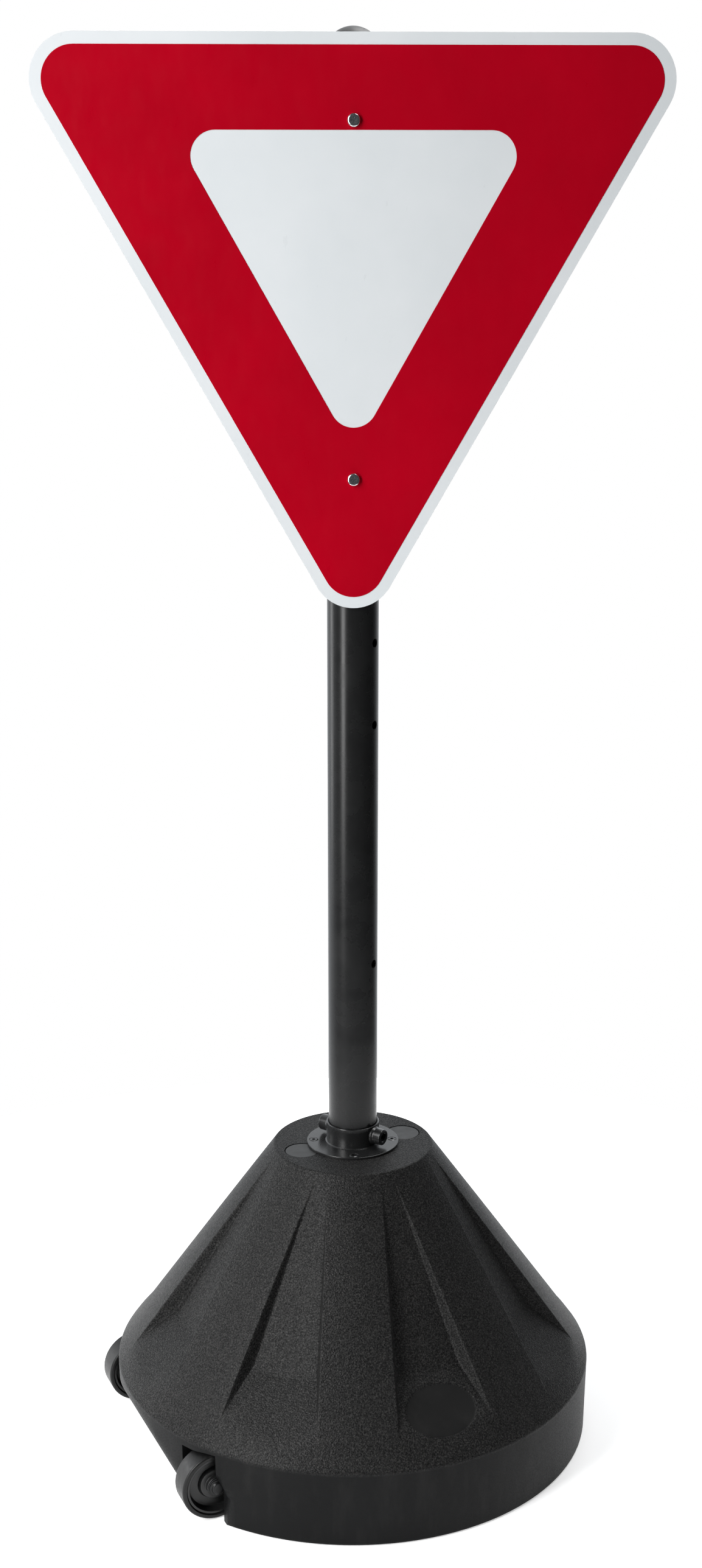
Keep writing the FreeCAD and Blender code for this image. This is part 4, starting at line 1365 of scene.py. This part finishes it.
# ------------------------------------------------------------------ sign
@dataclass
class Sign:
    """The triangular plate, its two facings and its two through bolts."""

    finishes: Finishes
    side: float = 762.0
    corner: float = 48.0
    top: float = 1667.0
    back: float = 30.45
    plate: float = 2.0
    film: float = 0.3
    border: float = 12.7
    inner_side: float = 391.6
    inner_top: float = 1569.2
    inner_corner: float = 27.0
    heights: dict[str, float] = field(default_factory=lambda: {"upper": 1579.0, "lower": 1200.0})
    post: float = 30.15
    hole: float = 4.3
    shank: float = 4.0
    head: float = 7.1
    head_height: float = 4.2
    tail: float = -41.5
    washer: float = 10.0
    washer_thickness: float = 1.6
    nut_flat: float = 6.5
    nut_height: float = 6.8

    def triangle(self, side: float, top: float, corner: float, steps: int = 24) -> list[Pair]:
        """A level-topped triangle pointing down, its corners rounded."""
        points = [(0.0, top), (side / 2, top), (0.0, top - side * math.sqrt(3) / 2),
                  (-side / 2, top), (0.0, top)]
        return rounded(points, [0, corner, corner, corner, 0], steps)[:-1]

    def sheet(self, name: str, loops: Sequence[Sequence[Pair]], back: float, thickness: float,
              edge: float) -> bpy.types.Object:
        """A flat sheet with holes, standing across the front of the post.

        Args:
            name: The object's name.
            loops: Its outline and its holes, in millimetres.
            back: How far its back stands before the post's axis.
            thickness: Its thickness.
            edge: Size of the rounding on its edges.

        Returns:
            The object, its place in its mesh.
        """
        flat = bpy.data.curves.new(name, "CURVE")
        flat.dimensions = "2D"
        flat.fill_mode = "BOTH"
        flat.extrude = (thickness / 2 - edge) * MM
        flat.bevel_depth = edge * MM
        flat.bevel_resolution = 2
        flat.offset = -edge * MM
        for loop in loops:
            line = flat.splines.new("POLY")
            line.points.add(len(loop) - 1)
            for point, (across, up) in zip(line.points, loop):
                point.co = (across * MM, up * MM, 0.0, 1.0)
            line.use_cyclic_u = True
        holder = bpy.data.objects.new(name + "_line", flat)
        bpy.context.scene.collection.objects.link(holder)
        graph = bpy.context.evaluated_depsgraph_get()
        mesh = bpy.data.meshes.new_from_object(holder.evaluated_get(graph))
        bpy.data.objects.remove(holder)
        mesh.transform(Matrix.Translation((0, -(back + thickness / 2) * MM, 0))
                       @ Matrix.Rotation(math.pi / 2, 4, "X"))
        item = bpy.data.objects.new(name, mesh)
        bpy.context.scene.collection.objects.link(item)
        tidy(item, 5e-6)
        return item

    def holes(self, radius: float) -> list[list[Pair]]:
        """Outlines of the two bolt holes."""
        turns = np.linspace(0, 2 * math.pi, 32, endpoint=False)
        return [[(radius * math.cos(turn), height + radius * math.sin(turn)) for turn in turns]
                for height in self.heights.values()]

    def build(self) -> None:
        """Make the plate, the facings and the bolts."""
        outline = self.triangle(self.side, self.top, self.corner)
        plate = self.sheet("sign_blank", [outline] + self.holes(self.hole), self.back,
                           self.plate, 0.35)
        finished(plate, self.finishes, Slot.ALUMINIUM, Body.MAST, ["sign_plate"], 60.0)
        front = self.back + self.plate
        white = self.sheet("sign_white_facing", [outline] + self.holes(self.hole), front,
                           self.film, 0.06)
        finished(white, self.finishes, Slot.WHITE, Body.MAST, ["white_sheeting"], 60.0)
        shrink = 2 * math.sqrt(3) * self.border
        outer = self.triangle(self.side - shrink, self.top - self.border,
                              self.corner - self.border)
        inner = self.triangle(self.inner_side, self.inner_top, self.inner_corner)
        red = self.sheet("sign_red_band", [outer, inner] + self.holes(self.hole),
                         front + self.film, self.film, 0.06)
        finished(red, self.finishes, Slot.RED, Body.MAST, ["red_band"], 60.0)
        for label, height in self.heights.items():
            self.build_bolt(label, height)

    def build_bolt(self, label: str, height: float) -> None:
        """A through bolt with its washer and nut behind the post.

        Args:
            label: Which of the two bolts this is.
            height: Its height above the floor.
        """
        stand = Matrix.Translation((0, 0, height * MM)) @ Matrix.Rotation(math.pi / 2, 4, "X")
        seat = self.back + self.plate + 2 * self.film
        crown = seat + self.head_height
        profile = [(0.0, self.tail), (self.shank - 0.8, self.tail), (self.shank, self.tail + 0.8)]
        at = self.tail + 1.0
        while at < -self.post + 0.5:
            profile += [(self.shank - 0.6, at + 0.35), (self.shank, at + 0.9)]
            at += THREAD_PITCH
        profile += [(self.shank, at + 0.5)]
        profile += rounded([(self.shank, seat - 0.02), (self.shank, seat), (self.head, seat),
                            (self.head, crown), (0.0, crown)], [0, 0, 0.3, 3.3, 0], 10)[1:]
        bolt = turned(f"sign_bolt_{label}_turned", profile, stand, 64)
        arm = [(-0.75, -3.3), (0.75, -3.3), (0.75, 3.3), (-0.75, 3.3)]
        cross = [(y, x) for x, y in arm]
        cutters = [prism("cross_block", shape, crown - 1.9, crown + 2, stand)
                   for shape in (arm, cross)]
        carved(bolt, cutters)
        finished(bolt, self.finishes, Slot.ZINC, Body.MAST, [f"sign_bolt_{label}"], 32.0)
        face = -self.post - 0.05
        bore, high = self.shank + 0.1, face - self.washer_thickness
        ring = rounded([(bore, high), (self.washer, high), (self.washer, face), (bore, face)],
                       [0, 0.5, 0.5, 0], 3)
        washer = turned(f"sign_washer_{label}_turned", ring, stand, 64, True)
        finished(washer, self.finishes, Slot.ZINC, Body.MAST, [f"sign_washer_{label}"])
        low = high - self.nut_height
        nut = prism(f"sign_nut_{label}_hexagon", hexagon(self.nut_flat), low, high, stand)
        chamfer = [(bore, low - 1), (bore, high + 1), (6.7, high + 1), (6.7, high),
                   (7.7, high - 0.6), (7.7, low + 0.6), (6.7, low), (6.7, low - 1)]
        carved(nut, [turned("nut_form", chamfer, stand, 64, True)], "INTERSECT")
        finished(nut, self.finishes, Slot.ZINC, Body.MAST, [f"sign_nut_{label}"], 25.0)


# ------------------------------------------------------------------ studio
@dataclass
class Studio:
    """Pale floor that glows with painted light, white surroundings, soft lights and the camera."""

    spot: tuple[float, float, float] = (-0.0512, -2.2666, 1.3807)
    pitch: float = 16.089
    yaw: float = 1.238
    focal: float = 44.79
    shift: float = 150.0 / FRAME_HEIGHT
    # Reach in metres within which the floor's painted glow stays at half strength.
    glow_ramp_start: float = 0.42
    floor: float = 1.15

    def build(self) -> None:
        """Set up everything around the object."""
        bpy.context.scene.view_settings.view_transform = "Standard"
        self.build_camera()
        self.build_floor()
        self.build_world()
        self.light("key", (-2.75, -2.05, 3.1), (0.0, 0.0, 0.8), (1.7, 1.7), 108.0)
        self.light("strip", (-1.7, -1.7, 1.15), (0.0, 0.0, 1.15), (0.6, 1.9), 38.0)
        self.light("top", (0.8, 0.5, 2.9), (0.0, 0.0, 0.2), (1.4, 1.4), 32.0)
        self.light("rim", (-2.4, 0.9, 0.8), (0.0, 0.0, 0.3), (0.7, 1.4), 11.0)

    def build_camera(self) -> None:
        """The camera, level, looking a little down."""
        data = bpy.data.cameras.new("camera")
        data.sensor_fit = "VERTICAL"
        data.sensor_height = 36.0
        data.lens = self.focal
        data.shift_y = self.shift
        camera = bpy.data.objects.new("camera", data)
        camera.location = self.spot
        camera.rotation_euler = (math.radians(90 - self.pitch), 0.0, -math.radians(self.yaw))
        bpy.context.scene.collection.objects.link(camera)
        bpy.context.scene.camera = camera

    def build_floor(self) -> None:
        """A pale floor just under the object. It glows as painted light, at half strength near the
        object and at full strength further out, which lifts the shade near the object and washes
        out shadows on the far floor.
        """
        paint = Painter("pale_floor")
        grain = paint.noise(30.0, 3.0)
        colour = paint.ramp(grain, [(0.3, grey(0.9)), (0.7, grey(0.92))])
        reach = paint.nodes.new("ShaderNodeVectorMath")
        reach.operation = "LENGTH"
        paint.link(paint.place, reach.inputs[0])
        # Painted light: the floor's glow rises from half to full strength between these two
        # distances from the middle.
        painted_floor_glow = paint.spread(reach.outputs["Value"], self.glow_ramp_start, self.glow_ramp_start * 2.2, 0.5, 1.0)
        paint.set(Base_Color=colour, Roughness=0.8, Specular_IOR_Level=0.1,
                  Emission_Color=(1.0, 1.0, 1.0), Emission_Strength=painted_floor_glow)
        turns = np.linspace(0, 2 * math.pi, 96, endpoint=False)
        mesh = bpy.data.meshes.new("floor")
        mesh.from_pydata([(self.floor * math.cos(turn), self.floor * math.sin(turn), 0)
                          for turn in turns], [], [tuple(range(len(turns)))])
        mesh.materials.append(paint.material)
        floor = bpy.data.objects.new("floor", mesh)
        floor.data.transform(Matrix.Translation((0, 0, -0.0005)))
        bpy.context.scene.collection.objects.link(floor)

    def build_world(self) -> None:
        """White surroundings that are dimmer in front of the object."""
        world = bpy.data.worlds.new("surroundings")
        world.use_nodes = True
        bpy.context.scene.world = world
        nodes, links = world.node_tree.nodes, world.node_tree.links
        nodes.clear()
        place = nodes.new("ShaderNodeTexCoord")
        split = nodes.new("ShaderNodeVectorMath")
        links.new(place.outputs["Generated"], split.inputs[0])
        split.operation = "DOT_PRODUCT"
        split.inputs[1].default_value = (-0.3, 0.95, 0.0)
        level = nodes.new("ShaderNodeMapRange")
        level.interpolation_type = "SMOOTHSTEP"
        for name, number in (("From Min", -0.1), ("From Max", 0.75),
                             ("To Min", 0.05), ("To Max", 1.0)):
            level.inputs[name].default_value = number
        links.new(split.outputs["Value"], level.inputs["Value"])
        around = nodes.new("ShaderNodeBackground")
        around.inputs["Color"].default_value = (0.93, 0.965, 1.0, 1.0)
        links.new(level.outputs["Result"], around.inputs["Strength"])
        seen = nodes.new("ShaderNodeBackground")
        seen.inputs["Color"].default_value = (1.0, 1.0, 1.0, 1.0)
        ray = nodes.new("ShaderNodeLightPath")
        mix = nodes.new("ShaderNodeMixShader")
        links.new(ray.outputs["Is Camera Ray"], mix.inputs[0])
        links.new(around.outputs[0], mix.inputs[1])
        links.new(seen.outputs[0], mix.inputs[2])
        out = nodes.new("ShaderNodeOutputWorld")
        links.new(mix.outputs[0], out.inputs[0])

    @staticmethod
    def light(name: str, spot: Sequence[float], aim: Sequence[float], size: Pair,
              power: float) -> None:
        """One soft rectangular light.

        Args:
            name: The light's name.
            spot: Where it stands.
            aim: The point that it faces.
            size: Its width and height.
            power: Its power in watts.
        """
        data = bpy.data.lights.new(name, "AREA")
        data.shape = "RECTANGLE"
        data.size, data.size_y = size
        data.energy = power
        lamp = bpy.data.objects.new(name, data)
        lamp.location = spot
        lamp.rotation_euler = (Vector(aim) - Vector(spot)).to_track_quat("-Z", "Y").to_euler()
        bpy.context.scene.collection.objects.link(lamp)


def main() -> None:
    """Build the signpost piece by piece."""
    logging.basicConfig(level=logging.INFO, format="%(name)s: %(message)s")
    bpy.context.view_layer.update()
    finishes = Finishes()
    finishes.dress_nodes()
    repeater = RingRepeater("ring_repeater")
    base = FlutedBase(finishes, repeater)
    base.build()
    Plugs(finishes, base).build()
    Socket(finishes, base, repeater).build()
    Wheel(finishes, base, "front", 1, Body.FRONT_WHEEL).build()
    Wheel(finishes, base, "rear", -1, Body.REAR_WHEEL).build()
    Post(finishes).build()
    Sign(finishes).build()
    Studio().build()


if __name__ == "__main__":
    main()
